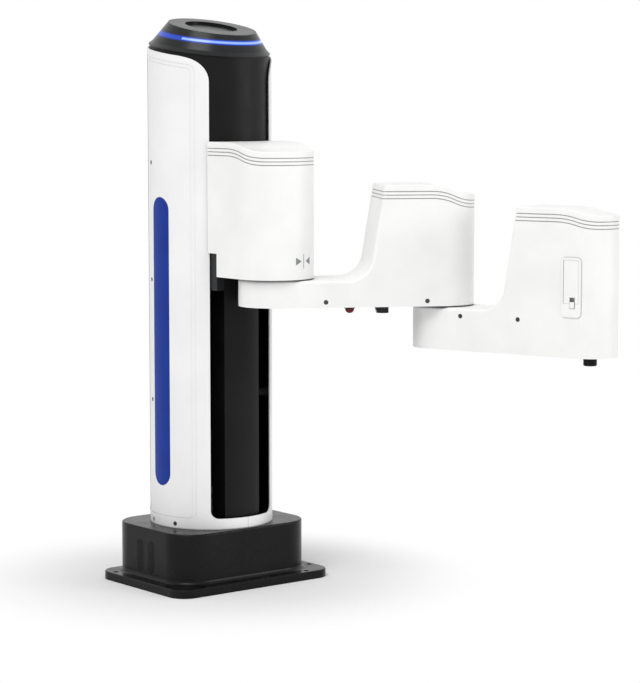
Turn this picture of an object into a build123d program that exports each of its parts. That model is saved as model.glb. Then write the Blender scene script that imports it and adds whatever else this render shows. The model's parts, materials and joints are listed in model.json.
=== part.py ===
from build123d import *
import os
from collections import namedtuple
from math import cos, hypot, radians, sin, sqrt, tan

# A four-axis SCARA robot with a round column.
# Millimetres. The origin is the centre of the base plate's underside.
# +X is the front, where the arms reach, +Y is the robot's left and +Z is up.
# A carriage climbs the column on a ball screw and carries the shoulder; the upper arm
# hangs under the shoulder, the forearm under the elbow and the tool shaft under the wrist.

# Fits
RUN_FIT = 0.05
SLIDE_FIT = 0.1
SEAT_GAP = 0.2
LOOSE = 1.0

# Base plate, which stands out past the box
PLATE_BACK_MARGIN = 2.5
PLATE_FRONT_MARGIN = 16.5
PLATE_SIDE_MARGIN = 16.5
PLATE_THICKNESS = 10.0
PLATE_CORNER = 22.0
PLATE_EDGE = 1.0
BOLT_RADIUS = 3.4
BOLT_SPACING_X = 110.0
BOLT_CENTRE_X = -5.0
BOLT_SIDE_GAP = 8.5
FRONT_BOLT_INSET = 7.5
FRONT_BOLT_SPACING = 158.0

# Base box, one casting with the plate, as long as the column needs
DECK_FRONT_MARGIN = 4.0
DECK_BACK_MARGIN = 2.0
BOX_WIDTH = 197.0
BOX_TOP = 71.0
BOX_CORNER = 38.0
BOX_EDGE = 2.0
BOX_FOOT = 5.0
BASE_WALL = 5.0
DECK_THICKNESS = 8.0
VENT_PITCH = 3.15
VENT_RADIUS = 1.05
VENT_COLUMNS = 5
VENT_ROWS = 13
VENT_HEIGHT = 36.5
VENT_CENTRES_X = (-19.5, 3.7)

# Sheet cover under the base
COVER_THICKNESS = 2.5
COVER_SCREW_SEAT = 1.0
COVER_LEDGE = 3.0
SLOT_LENGTH = 34.0
SLOT_WIDTH = 3.0
SLOT_PITCH = 8.0
SLOT_COUNT = 5
BOSS_RADIUS = 5.0
BOSS_TOP = 22.0
BOSS_SPACING_X = 90.0
BOSS_INSET = 5.0
STANDOFF_RADIUS = 3.0
STANDOFF_HEIGHT = 8.0

# Screws
SCREW_RADIUS = 1.5
SCREW_HEAD_RADIUS = 2.6
SCREW_HEAD = 1.9
SCREW_SOCKET = 1.25
SCREW_SOCKET_DEPTH = 1.1
SCREW_LENGTH = 6.0

# Connector panel at the back of the base
PANEL_WIDTH = 116.0
PANEL_HEIGHT = 40.0
PANEL_CORNER = 4.0
PANEL_HEIGHT_MID = 37.0
PANEL_THICKNESS = 2.0
PANEL_RECESS = 1.0
INLET_Y = 42.0
INLET_RADIUS = 9.0
INLET_BORE = 6.6
INLET_DEPTH = 12.0
INLET_PIN = 0.9
SWITCH_Y = 17.0
SWITCH_WIDTH = 12.0
SWITCH_HEIGHT = 20.0
SWITCH_ROCK = 8.0
JACK_YS = (-4.0, -22.0)
JACK_WIDTH = 16.0
JACK_HEIGHT = 14.0
JACK_DEPTH = 18.0
JACK_MOUTH_WIDTH = 11.6
JACK_MOUTH_HEIGHT = 8.2
JACK_MOUTH_DEPTH = 13.0
TERMINAL_Y = -43.0
TERMINAL_WIDTH = 20.0
TERMINAL_HEIGHT = 24.0
TERMINAL_WAYS = 5

# Cooling fan and control board inside the base
FAN_SIZE = 40.0
FAN_DEPTH = 12.0
FAN_BORE = 18.6
FAN_HUB = 9.0
FAN_TIP = 18.0
FAN_BLADES = 7
FAN_PIN = 1.5
FAN_CORNER = 4.0
FAN_STRUT = 2.0
FAN_END_GAP = 2.0
BLADE_THICKNESS = 1.2
BLADE_PITCH = 35.0
BOARD_LENGTH = 60.0
BOARD_WIDTH = 120.0
BOARD_THICKNESS = 1.6
BOARD_CENTRE_X = -2.0
CHIP_SIZE = 14.0
CHIP_HEIGHT = 2.5
CHIP_PITCH = 26.5
CHIP_COUNT = 4

# Column
COLUMN_X = -8.0
COLUMN_RADIUS = 75.0
SHELL_WALL = 3.0
SEAM = 0.3
RIM_HEIGHT = 645.0
RIM_SLOPE = 0.15
SHELL_BELOW_RIM = 3.5
WINDOW_HALF = 44.8
WINDOW_LIFT = 13.0
WINDOW_CORNER = 9.5
SHELL_CORNER_OUT = 66.2
SHELL_CORNER_DROP = 9.0
SHELL_CORNER_HEIGHT = 30.0
PANEL_HALF_OUTER = 48.5
PANEL_HALF_INNER = 44.1
PANEL_LIFT = 13.5
PANEL_BELOW_RIM = 12.0
PANEL_STEP = 0.35
SIDE_PANEL_CORNER = 8.0
STRIPE_HALF = 15.8
STRIPE_LOW = 120.8
STRIPE_HIGH = 469.4
STRIPE_THICKNESS = 0.6
STRIPE_PROUD = 0.1
RING_HEIGHT = 11.0
RING_LAND = 1.7
RING_SCREW_LIFT = 5.5
RING_SCREW_ANGLES = (72.0, 105.5, 150.0)
SIDE_SCREW_HEIGHTS = (223.0, 369.0, 510.0)
SIDE_SCREW_ANGLE = 108.0
SHELL_BRACKET = 8.0

# Black covers in the window
FRONT_COVER_STEP = 7.0
FRONT_COVER_HALF = 25.6
FRONT_COVER_WALL = 2.5
FRONT_COVER_BACK_GAP = 10.3
UPPER_COVER_DROP = 67.0
UPPER_COVER_WALL = 2.5
COLLAR_LAP = 2.0
TOP_PLATE_DROP = 45.0
TOP_PLATE_THICKNESS = 8.0

# Cap with its light band, tilted to the front, its top a little more than its foot
CAP_LIP_STEP = 1.5
CAP_LIP_EDGE = 1.5
CAP_LIP_BEVEL = 4.5
CAP_BEVEL_HEIGHT = 4.0
CAP_CONE_STEP = 15.9
CAP_HEIGHT = 28.0
CAP_TOP_SLOPE = 0.06
CAP_WALL = 3.0
CAP_SKIRT = 8.0
CAP_BEAD = 0.6
CAP_DISH_RIM = 21.4
CAP_DISH_DEPTH = 3.5
BAND_LOW = 14.5
BAND_HIGH = 17.5
BAND_DEPTH = 1.4
BAND_PROUD = 0.4
BAND_HALF_ANGLE = 69.0

# Mast, rails and ball screw inside the column
MAST_FRONT_X = -2.0
MAST_DEPTH = 50.0
MAST_WIDTH = 84.0
MAST_WALL = 5.0
MAST_CORNER = 5.0
CHANNEL_WIDTH = 38.0
CHANNEL_DEPTH = 34.0
RAIL_SPACING = 61.0
RAIL_WIDTH = 12.0
RAIL_HEIGHT = 8.0
RAIL_FOOT = 41.0
RAIL_HEAD = 22.0
RAIL_BLOCK_WIDTH = 27.0
RAIL_BLOCK_LENGTH = 45.0
RAIL_BLOCK_TOP = 13.0
RAIL_BLOCK_LIFT = 3.0
BLOCK_SPACING = 90.0
SPINDLE_X = -18.0
SPINDLE_RADIUS = 6.0
SPINDLE_HEAD = 6.0
JOURNAL_RADIUS = 4.0
BEARING_FOOT = 29.0
BEARING_HEAD = 4.0
BEARING_THICKNESS = 12.0
BEARING_REACH = 30.0
COUPLING_RADIUS = 11.0
COUPLING_LENGTH = 22.0
COUPLING_LIFT = 4.0
MOTOR_SIZE = 57.0
MOTOR_LENGTH = 46.0
MOTOR_CORNER = 5.0

# Carriage
BRACKET_THICKNESS = 8.0
BRACKET_HEIGHT = 162.0
BRACKET_TOP_GAP = 11.0
WING_OUTER = 43.5
WING_THICKNESS = 10.5
WING_STEP_BACK = 2.0
WING_REACH = 23.0
WING_TOP_CUT = 11.0
NUT_RADIUS = 11.0
NUT_LENGTH = 36.0
NUT_LIFT = 70.0
NUT_FLANGE = 15.0
NUT_FLANGE_THICKNESS = 6.0
LUG_HALF = 15.0
LUG_BACK = 14.0

# Shoulder, with the first joint in front of the column
J1_REACH = 50.3
SHOULDER_RADIUS = 48.0
SHOULDER_LIFT = 17.0
SHOULDER_HEIGHT = 159.0
SHOULDER_STEP = 10.0
SHOULDER_STEP_BACK = 25.3
SHOULDER_STEP_FRONT = 32.7
SHOULDER_COLUMN_GAP = 2.5
NOTCH_DEPTH = 17.5
NOTCH_HEIGHT = 27.5
COVER_WALL = 2.5
TOP_EDGE = 1.5
GROOVE_DROPS = (7.0, 11.1, 15.2)
GROOVE_HEIGHT = 1.1
GROOVE_DEPTH = 0.8
CASTING_LIFT = 3.0
CASTING_HEIGHT = 45.0
CASTING_COVER_GAP = 2.5
J1_REDUCER_RADIUS = 32.0
J1_REDUCER_HEIGHT = 32.0
J1_MOTOR_RADIUS = 30.0
J1_MOTOR_HEIGHT = 86.0
J1_HUB_RADIUS = 29.0
J1_SPIGOT_RADIUS = 20.0
SPIGOT_HEIGHT = 16.0
MOTOR_CASE_SHARE = 0.78
MOTOR_CAP_SHARE = 0.8

# Both arms
LINK_LENGTH = 200.0
ARM_GAP = 1.5
LEAN_DEGREES = 9.0
FOOT_RADIUS = 30.0
ARM_EDGE = 3.5
UPPER_HEADING = 60.0
FOREARM_HEADING = 18.6

# Upper arm with the elbow housing
UPPER_HALF = 41.0
UPPER_DEPTH = 31.5
UPPER_PLATE = 12.0
ELBOW_BACK = 91.6
ELBOW_HEIGHT = 111.0
ELBOW_STEP = 11.5
ELBOW_STEP_BACK = 17.0
ELBOW_STEP_FRONT = 36.0
UPPER_SCREW_START = 56.8
UPPER_SCREW_BACK = 22.7
UPPER_SCREW_HEIGHT = 6.5
J2_REDUCER_RADIUS = 27.0
J2_REDUCER_HEIGHT = 28.0
J2_MOTOR_RADIUS = 25.0
J2_MOTOR_HEIGHT = 66.0
J2_HUB_RADIUS = 21.5
J2_SPIGOT_RADIUS = 16.0

# Release button and connector under the upper arm
BUTTON_PITCH = 39.7
BUTTON_RADIUS = 5.3
BUTTON_REACH = 10.5
BUTTON_LENGTH = 16.5
BUTTON_TRAVEL = 2.5
BUTTON_DOME = 3.6
COLLAR_RADIUS = 7.7
COLLAR_NOSE = 6.4
COLLAR_REACH = 4.6
BARREL_RADIUS = 6.8
BARREL_HEIGHT = 16.0
CONNECTOR_BACK = 68.8
CONNECTOR_RADIUS = 7.2
CONNECTOR_REACH = 10.4
CONNECTOR_HEIGHT = 18.0
CONNECTOR_BORE = 5.2
CONNECTOR_BORE_DEPTH = 6.5
CONNECTOR_KEY = 10.6
CONNECTOR_KEY_HALF = 4.0

# Forearm with the wrist housing
FOREARM_HALF = 31.5
FOREARM_DEPTH = 50.0
FRAME_THICKNESS = 12.0
FRAME_DROP = 3.5
WRIST_BACK = 100.8
WRIST_HEIGHT = 121.0
WRIST_STEP = 7.5
WRIST_STEP_BACK = 30.0
WRIST_STEP_FRONT = 24.0
FOREARM_SCREW_START = 46.1
FOREARM_SCREW_BACK = 77.8
FOREARM_SCREW_DROP = 9.2
BOTTOM_COVER = 2.5
J4_MOTOR_RADIUS = 24.0
J4_MOTOR_HEIGHT = 61.0
TOOL_RADIUS = 8.0
TOOL_REACH = 11.0
TOOL_EDGE = 0.8
SHAFT_RADIUS = 9.0
SHAFT_SHOULDER = 0.5
TOOL_TOP_GAP = 2.0
TOOL_COLLAR = 12.0
TOOL_COLLAR_HEIGHT = 4.0
TOOL_BEARING_RADIUS = 16.0
TOOL_BEARING_HEIGHT = 8.0
TOWER_WALL = 4.0
TOWER_GAP = 1.5

# Service hatch on the side of the wrist
HATCH_BACK = 22.1
HATCH_WIDTH = 25.5
HATCH_LIFT = 46.7
HATCH_HEIGHT = 68.5
HATCH_CORNER = 5.0
HATCH_PROUD = 1.2
HATCH_FRAME = 3.0
HATCH_WALL = 1.5
HATCH_DEPTH = 7.0
DOOR_LIFT = 16.0
DOOR_THICKNESS = 1.5
DOOR_PIN = 0.45
DOOR_PIN_LENGTH = 1.6
THUMB_IN = 11.8
THUMB_WIDTH = 5.6
THUMB_LIFT = 10.6
THUMB_HEIGHT = 7.2
THUMB_TRAVEL = 4.5
THUMB_PROUD = 0.7
THUMB_GAP = 0.6
LATCH_FLANGE = 1.8
LATCH_FLANGE_THICKNESS = 1.0

# Places and heights of the base that follow from the sizes above
BOX_BACK_X = COLUMN_X - COLUMN_RADIUS - DECK_BACK_MARGIN
BOX_FRONT_X = COLUMN_X + COLUMN_RADIUS + DECK_FRONT_MARGIN
BOX_LENGTH = BOX_FRONT_X - BOX_BACK_X
BOX_CENTRE_X = (BOX_FRONT_X + BOX_BACK_X) / 2
PLATE_LENGTH = BOX_LENGTH + PLATE_BACK_MARGIN + PLATE_FRONT_MARGIN
PLATE_CENTRE_X = BOX_CENTRE_X + (PLATE_FRONT_MARGIN - PLATE_BACK_MARGIN) / 2
PLATE_WIDTH = BOX_WIDTH + 2 * PLATE_SIDE_MARGIN
BOLT_SPACING_Y = BOX_WIDTH + 2 * BOLT_SIDE_GAP
FRONT_BOLT_X = PLATE_CENTRE_X + PLATE_LENGTH / 2 - FRONT_BOLT_INSET
DECK_UNDERSIDE = BOX_TOP - DECK_THICKNESS

# Radii and heights of the column
SHELL_INNER = COLUMN_RADIUS - SHELL_WALL
INSIDE_RADIUS = SHELL_INNER - SEAT_GAP
UPPER_COVER_INNER = INSIDE_RADIUS - UPPER_COVER_WALL
FRONT_COVER_RADIUS = COLUMN_RADIUS - FRONT_COVER_STEP
FRONT_COVER_INNER = FRONT_COVER_RADIUS - FRONT_COVER_WALL
RING_INNER = FRONT_COVER_INNER - RING_LAND
WINDOW_BOTTOM = BOX_TOP + WINDOW_LIFT
PANEL_BOTTOM = BOX_TOP + PANEL_LIFT
RING_SCREW_HEIGHT = BOX_TOP + RING_SCREW_LIFT
SHELL_CORNER_TOP = RIM_HEIGHT - SHELL_CORNER_DROP
SHELL_CORNER_LOW = SHELL_CORNER_TOP - SHELL_CORNER_HEIGHT
TOP_PLATE_HEIGHT = RIM_HEIGHT - TOP_PLATE_DROP
TOP_PLATE_TOP = TOP_PLATE_HEIGHT + TOP_PLATE_THICKNESS
COLLAR_BOTTOM = TOP_PLATE_HEIGHT - COLLAR_LAP
UPPER_COVER_BOTTOM = TOP_PLATE_HEIGHT - UPPER_COVER_DROP
CAP_LIP_RADIUS = COLUMN_RADIUS - CAP_LIP_STEP
CAP_FOOT_RADIUS = CAP_LIP_RADIUS - CAP_LIP_BEVEL
CAP_FOOT_HEIGHT = CAP_LIP_EDGE + CAP_BEVEL_HEIGHT
CAP_TOP_RADIUS = CAP_FOOT_RADIUS - CAP_CONE_STEP
CAP_DISH_RADIUS = CAP_TOP_RADIUS - CAP_DISH_RIM

# Places and heights of the carriage, which hangs just under the upper cover
RAIL_TOP_X = MAST_FRONT_X + RAIL_HEIGHT
BRACKET_X = MAST_FRONT_X + RAIL_BLOCK_TOP
BRACKET_HIGH = UPPER_COVER_BOTTOM - BRACKET_TOP_GAP
BRACKET_LOW = BRACKET_HIGH - BRACKET_HEIGHT
WING_INNER = WING_OUTER - WING_THICKNESS
WING_STEP_X = COLUMN_X + COLUMN_RADIUS - WING_STEP_BACK
WING_END_X = WING_STEP_X + WING_REACH
NUT_LOW = BRACKET_LOW + NUT_LIFT
RAIL_LOW = BOX_TOP + RAIL_FOOT
RAIL_HIGH = BRACKET_HIGH + RAIL_HEAD
BEARING_LOW = BOX_TOP + BEARING_FOOT
BEARING_HIGH = RAIL_HIGH + BEARING_HEAD
SPINDLE_TOP = BEARING_HIGH + BEARING_THICKNESS + SPINDLE_HEAD
J1_X = COLUMN_X + COLUMN_RADIUS + J1_REACH
SHOULDER_BOTTOM = BRACKET_LOW + SHOULDER_LIFT
CASTING_LOW = SHOULDER_BOTTOM + CASTING_LIFT

# Places and heights of the arms
UPPER_TOP = SHOULDER_BOTTOM - ARM_GAP
UPPER_BOTTOM = UPPER_TOP - UPPER_DEPTH
UPPER_PLATE_TOP = UPPER_BOTTOM + UPPER_PLATE
FOREARM_TOP = UPPER_BOTTOM - ARM_GAP
FOREARM_BOTTOM = FOREARM_TOP - FOREARM_DEPTH
FRAME_TOP = FOREARM_TOP - FRAME_DROP
FRAME_LOW = FRAME_TOP - FRAME_THICKNESS
TOWER_LOW = FOREARM_BOTTOM + BOTTOM_COVER + TOWER_GAP
TOOL_LOW = FOREARM_BOTTOM - TOOL_REACH
CONNECTOR_AT = LINK_LENGTH - CONNECTOR_BACK
BUTTON_AT = CONNECTOR_AT - BUTTON_PITCH
HATCH_START = LINK_LENGTH - HATCH_BACK
HATCH_END = HATCH_START + HATCH_WIDTH
HATCH_LOW = FOREARM_BOTTOM + HATCH_LIFT
HATCH_HIGH = HATCH_LOW + HATCH_HEIGHT
HATCH_FACE = FOREARM_HALF + HATCH_PROUD
DOOR_LOW = HATCH_LOW + DOOR_LIFT
DOOR_BACK = HATCH_FACE - DOOR_THICKNESS
THUMB_START = HATCH_START + THUMB_IN
THUMB_END = THUMB_START + THUMB_WIDTH
THUMB_LOW = HATCH_LOW + THUMB_LIFT
THUMB_HIGH = THUMB_LOW + THUMB_HEIGHT

Housing = namedtuple("Housing", "half low slab root back step step_start step_end")
SHOULDER = Housing(
    half=SHOULDER_RADIUS,
    low=SHOULDER_BOTTOM,
    slab=SHOULDER_BOTTOM,
    root=0.0,
    back=SHOULDER_BOTTOM + SHOULDER_HEIGHT,
    step=SHOULDER_STEP,
    step_start=J1_X - SHOULDER_STEP_BACK,
    step_end=J1_X + SHOULDER_STEP_FRONT,
)
UPPER_ARM = Housing(
    half=UPPER_HALF,
    low=UPPER_BOTTOM,
    slab=UPPER_TOP,
    root=LINK_LENGTH - ELBOW_BACK,
    back=UPPER_TOP + ELBOW_HEIGHT,
    step=ELBOW_STEP,
    step_start=LINK_LENGTH - ELBOW_STEP_BACK,
    step_end=LINK_LENGTH + ELBOW_STEP_FRONT,
)
FOREARM = Housing(
    half=FOREARM_HALF,
    low=FOREARM_BOTTOM,
    slab=FOREARM_TOP,
    root=LINK_LENGTH - WRIST_BACK,
    back=FOREARM_TOP + WRIST_HEIGHT,
    step=WRIST_STEP,
    step_start=LINK_LENGTH - WRIST_STEP_BACK,
    step_end=LINK_LENGTH + WRIST_STEP_FRONT,
)

ON_COLUMN = Pos(COLUMN_X, 0, 0)
ON_UPPER = Pos(J1_X, 0, 0) * Rot(0, 0, UPPER_HEADING)
ON_FOREARM = ON_UPPER * Pos(LINK_LENGTH, 0, 0) * Rot(0, 0, FOREARM_HEADING - UPPER_HEADING)
ON_TOOL = ON_FOREARM * Pos(LINK_LENGTH, 0, 0)
CAP_TILT = Plane(
    origin=(COLUMN_X, 0, RIM_HEIGHT),
    x_dir=(1, 0, -RIM_SLOPE),
    z_dir=(RIM_SLOPE, 0, 1),
)

CAP_TOP = Plane(
    origin=(0, 0, CAP_HEIGHT),
    x_dir=(1, 0, -CAP_TOP_SLOPE),
    z_dir=(CAP_TOP_SLOPE, 0, 1),
)

LOW_END = (Align.CENTER, Align.CENTER, Align.MIN)
LOW_CORNER = (Align.MIN, Align.MIN, Align.MIN)
TALL = 800.0


def bar(radius, low, high, x=0.0, y=0.0):
    """An upright round bar between two heights."""
    return Pos(x, y, low) * Cylinder(radius, high - low, align=LOW_END)


def tube(outer, inner, low, high, x=0.0, y=0.0):
    """An upright tube between two heights."""
    return bar(outer, low, high, x, y) - bar(inner, low, high, x, y)


def block(x_span, y_span, z_span):
    """A box from its low and high side along each axis."""
    spans = (x_span, y_span, z_span)
    size = [high - low for low, high in spans]
    return Pos(*[low for low, _ in spans]) * Box(*size, align=LOW_CORNER)


def prism(outline, low, high):
    """A flat outline on the ground, raised between two heights."""
    return extrude(Pos(0, 0, low) * outline, high - low)


def across(face, half_width):
    """A face drawn in X and Z, extruded to both sides of the middle plane."""
    return extrude(Plane.XZ * face, half_width, both=True)


def both_sides(part):
    """A piece and its mirror image on the other side of the middle plane."""
    return [part, mirror(part, about=Plane.XZ)]


def sleeve_along_x(outer, inner, x_low, x_high, y, z):
    """A tube lying along X; an inner radius of zero leaves it solid."""
    length = x_high - x_low
    place = Pos(x_low, y, z) * Rot(0, 90, 0)
    body = place * Cylinder(outer, length, align=LOW_END)
    if inner:
        body -= place * Cylinder(inner, length, align=LOW_END)
    return body


def cap_screw(place, length=SCREW_LENGTH):
    """A socket head screw: the head stands on the seat, the shank goes down into it."""
    head = Cylinder(SCREW_HEAD_RADIUS, SCREW_HEAD, align=LOW_END)
    shank = Pos(0, 0, -length) * Cylinder(SCREW_RADIUS, length, align=LOW_END)
    socket = extrude(RegularPolygon(SCREW_SOCKET, 6), SCREW_SOCKET_DEPTH)
    socket = Pos(0, 0, SCREW_HEAD - SCREW_SOCKET_DEPTH) * socket
    return place * (head + shank - socket)


def screw_hole(place, length=SCREW_LENGTH):
    """The hole that a screw's shank goes into, a little deeper than the shank."""
    depth = length + SEAT_GAP
    radius = SCREW_RADIUS + RUN_FIT
    return place * Pos(0, 0, -depth) * Cylinder(radius, depth, align=LOW_END)


def head_hole(place, depth):
    """The round hole in a cover that a screw's head sits in."""
    return place * Cylinder(SCREW_HEAD_RADIUS + SEAT_GAP, depth, align=LOW_END)


# Base

def box_outline(inset=0.0):
    """The base box seen from above, drawn in by the inset."""
    return Pos(BOX_CENTRE_X, 0) * RectangleRounded(
        BOX_LENGTH - 2 * inset, BOX_WIDTH - 2 * inset, BOX_CORNER - inset
    )


def bolt_places():
    """The holes that bolt the base down: four round the box and two at the front."""
    half_x = BOLT_SPACING_X / 2
    half_y = BOLT_SPACING_Y / 2
    places = [(BOLT_CENTRE_X + sx * half_x, sy * half_y) for sx in (-1, 1) for sy in (-1, 1)]
    places += [(FRONT_BOLT_X, side * FRONT_BOLT_SPACING / 2) for side in (-1, 1)]
    return places


def vent_holes():
    """Two tall clusters of small six-sided holes through the right wall of the base."""
    hole = Rot(90, 0, 0) * extrude(RegularPolygon(VENT_RADIUS, 6), 3 * BASE_WALL)
    start_y = -BOX_WIDTH / 2 + 2 * BASE_WALL
    holes = []
    middle = VENT_COLUMNS // 2
    for centre_x in VENT_CENTRES_X:
        for column in range(-middle, middle + 1):
            count = VENT_ROWS - abs(column)
            x = centre_x + column * VENT_PITCH * cos(radians(30))
            for row in range(count):
                z = VENT_HEIGHT + (row - (count - 1) / 2) * VENT_PITCH
                holes.append(Pos(x, start_y, z) * hole)
    return holes


def boss_places():
    """The four bosses that the under-cover is screwed to."""
    half_y = BOX_WIDTH / 2 - BASE_WALL - BOSS_INSET
    return [
        (BOX_CENTRE_X + side_x * BOSS_SPACING_X / 2, side_y * half_y)
        for side_x in (-1, 1)
        for side_y in (-1, 1)
    ]


def plate_outline(inset=0.0):
    """The base plate seen from above, drawn in by the inset."""
    return Pos(PLATE_CENTRE_X, 0) * RectangleRounded(
        PLATE_LENGTH - 2 * inset, PLATE_WIDTH - 2 * inset, PLATE_CORNER - inset
    )


def box_with_foot():
    """The box with a hollow curve round its foot, kept inside the plate's edge."""
    margin = 4 * BOX_FOOT
    field = Pos(BOX_CENTRE_X, 0) * Rectangle(BOX_LENGTH + margin, BOX_WIDTH + margin)
    body = prism(field, 0, PLATE_THICKNESS) + prism(box_outline(), 0, BOX_TOP)
    ledge = body.faces().filter_by(Axis.Z).sort_by(lambda face: face.area)
    ledge = [face for face in ledge if face.inner_wires()][0]
    body = fillet(ledge.inner_wires()[0].edges(), BOX_FOOT)
    body = fillet(body.faces().sort_by(Axis.Z)[-1].edges(), BOX_EDGE)
    return body & prism(plate_outline(PLATE_EDGE), PLATE_THICKNESS / 2, TALL)


def panel_window(gap=0.0):
    """The rounded opening for the connector panel, as a bar along X."""
    outline = RectangleRounded(
        PANEL_WIDTH + 2 * gap, PANEL_HEIGHT + 2 * gap, PANEL_CORNER + gap
    )
    plane = Plane(origin=(0, 0, PANEL_HEIGHT_MID), x_dir=(0, 1, 0), z_dir=(1, 0, 0))
    return plane * outline


def base_casting():
    """Plate and box in one casting, open below, with its bolt holes and vents."""
    plate = prism(plate_outline(), 0, PLATE_THICKNESS)
    plate = chamfer(plate.faces().sort_by(Axis.Z)[-1].edges(), PLATE_EDGE)
    body = plate + box_with_foot()
    cavity = prism(box_outline(BASE_WALL), 0, DECK_UNDERSIDE)
    for x, y in boss_places():
        cavity -= bar(BOSS_RADIUS, COVER_THICKNESS, BOSS_TOP, x, y)
    body -= cavity
    body -= prism(box_outline(BASE_WALL - COVER_LEDGE), 0, COVER_THICKNESS)
    cuts = [bar(BOLT_RADIUS, 0, PLATE_THICKNESS, x, y) for x, y in bolt_places()]
    cuts += [bar(SCREW_RADIUS + RUN_FIT, COVER_THICKNESS, BOSS_TOP, x, y) for x, y in boss_places()]
    cuts.append(bar(COUPLING_RADIUS + LOOSE, DECK_UNDERSIDE, BOX_TOP, SPINDLE_X))
    cuts.append(extrude(Pos(BOX_BACK_X - LOOSE, 0, 0) * panel_window(), BASE_WALL + 2 * LOOSE))
    cuts += vent_holes()
    return body - cuts


def base_under_cover():
    """Sheet that closes the base from below, with air slots and board posts."""
    sheet = prism(box_outline(BASE_WALL - COVER_LEDGE + SEAT_GAP), 0, COVER_THICKNESS)
    for x, y in board_posts():
        sheet += bar(STANDOFF_RADIUS, 0, COVER_THICKNESS + STANDOFF_HEIGHT, x, y)
    cuts = []
    for side in (-1, 1):
        for index in range(SLOT_COUNT):
            x = BOX_CENTRE_X + (index - (SLOT_COUNT - 1) / 2) * SLOT_PITCH
            y = side * BOX_WIDTH / 4
            cuts.append(block(
                (x - SLOT_WIDTH / 2, x + SLOT_WIDTH / 2),
                (y - SLOT_LENGTH / 2, y + SLOT_LENGTH / 2),
                (0, 2 * COVER_THICKNESS),
            ))
    for x, y in boss_places():
        cuts.append(bar(SCREW_RADIUS + SEAT_GAP, 0, COVER_THICKNESS, x, y))
        cuts.append(bar(SCREW_HEAD_RADIUS + SEAT_GAP, 0, COVER_SCREW_SEAT, x, y))
    return sheet - cuts


def base_screws():
    """Four flat-headed screws under the base."""
    screws = []
    for x, y in boss_places():
        head = bar(SCREW_HEAD_RADIUS, COVER_SCREW_SEAT / 4, COVER_SCREW_SEAT, x, y)
        shank = bar(SCREW_RADIUS, COVER_SCREW_SEAT, BOSS_TOP - SEAT_GAP, x, y)
        screws.append(head + shank)
    return screws


def board_posts():
    """Where the four board posts stand."""
    half_x = BOARD_LENGTH / 2 - STANDOFF_RADIUS
    half_y = BOARD_WIDTH / 2 - STANDOFF_RADIUS
    return [(BOARD_CENTRE_X + sx * half_x, sy * half_y) for sx in (-1, 1) for sy in (-1, 1)]


def control_board():
    """Circuit board with drive chips and capacitors under the column's motor."""
    low = COVER_THICKNESS + STANDOFF_HEIGHT
    high = low + BOARD_THICKNESS
    board = block(
        (BOARD_CENTRE_X - BOARD_LENGTH / 2, BOARD_CENTRE_X + BOARD_LENGTH / 2),
        (-BOARD_WIDTH / 2, BOARD_WIDTH / 2),
        (low, high),
    )
    for index in range(CHIP_COUNT):
        y = (index - (CHIP_COUNT - 1) / 2) * CHIP_PITCH
        board += block(
            (BOARD_CENTRE_X + CHIP_SIZE / 2, BOARD_CENTRE_X + 3 * CHIP_SIZE / 2),
            (y - CHIP_SIZE / 2, y + CHIP_SIZE / 2),
            (high, high + CHIP_HEIGHT),
        )
    return board


def rear_panel():
    """Connector panel set into the back wall, with the switch's two pivot ears."""
    outer_x = BOX_BACK_X + PANEL_RECESS
    inner_x = outer_x + PANEL_THICKNESS
    plate = extrude(Pos(outer_x, 0, 0) * panel_window(-SEAT_GAP), PANEL_THICKNESS)
    ear_gap = SWITCH_WIDTH / 2 + SEAT_GAP
    for side in (-1, 1):
        low, high = sorted((side * ear_gap, side * (ear_gap + PANEL_THICKNESS)))
        plate += block(
            (inner_x, inner_x + SWITCH_HEIGHT / 3),
            (SWITCH_Y + low, SWITCH_Y + high),
            (PANEL_HEIGHT_MID - SWITCH_HEIGHT / 6, PANEL_HEIGHT_MID + SWITCH_HEIGHT / 6),
        )
    long_x = (outer_x - LOOSE, inner_x + LOOSE)
    cuts = [sleeve_along_x(INLET_RADIUS - LOOSE, 0, *long_x, INLET_Y, PANEL_HEIGHT_MID)]
    windows = [(SWITCH_Y, SWITCH_WIDTH, SWITCH_HEIGHT)]
    windows += [(y, JACK_WIDTH, JACK_HEIGHT) for y in JACK_YS]
    windows.append((TERMINAL_Y, TERMINAL_WIDTH, TERMINAL_HEIGHT))
    for y, width, height in windows:
        cuts.append(panel_block(long_x, y, width + 2 * SEAT_GAP, height + 2 * SEAT_GAP))
    pivot = Pos(switch_pivot_x(), SWITCH_Y, PANEL_HEIGHT_MID) * Rot(90, 0, 0)
    cuts.append(pivot * Cylinder(SCREW_RADIUS + RUN_FIT, 2 * SWITCH_WIDTH))
    return plate - cuts


def panel_block(x_span, y, width, height):
    """A block at the panel's middle height, as wide and high as given."""
    high = PANEL_HEIGHT_MID + height / 2
    low = PANEL_HEIGHT_MID - height / 2
    return block(x_span, (y - width / 2, y + width / 2), (low, high))


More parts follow.
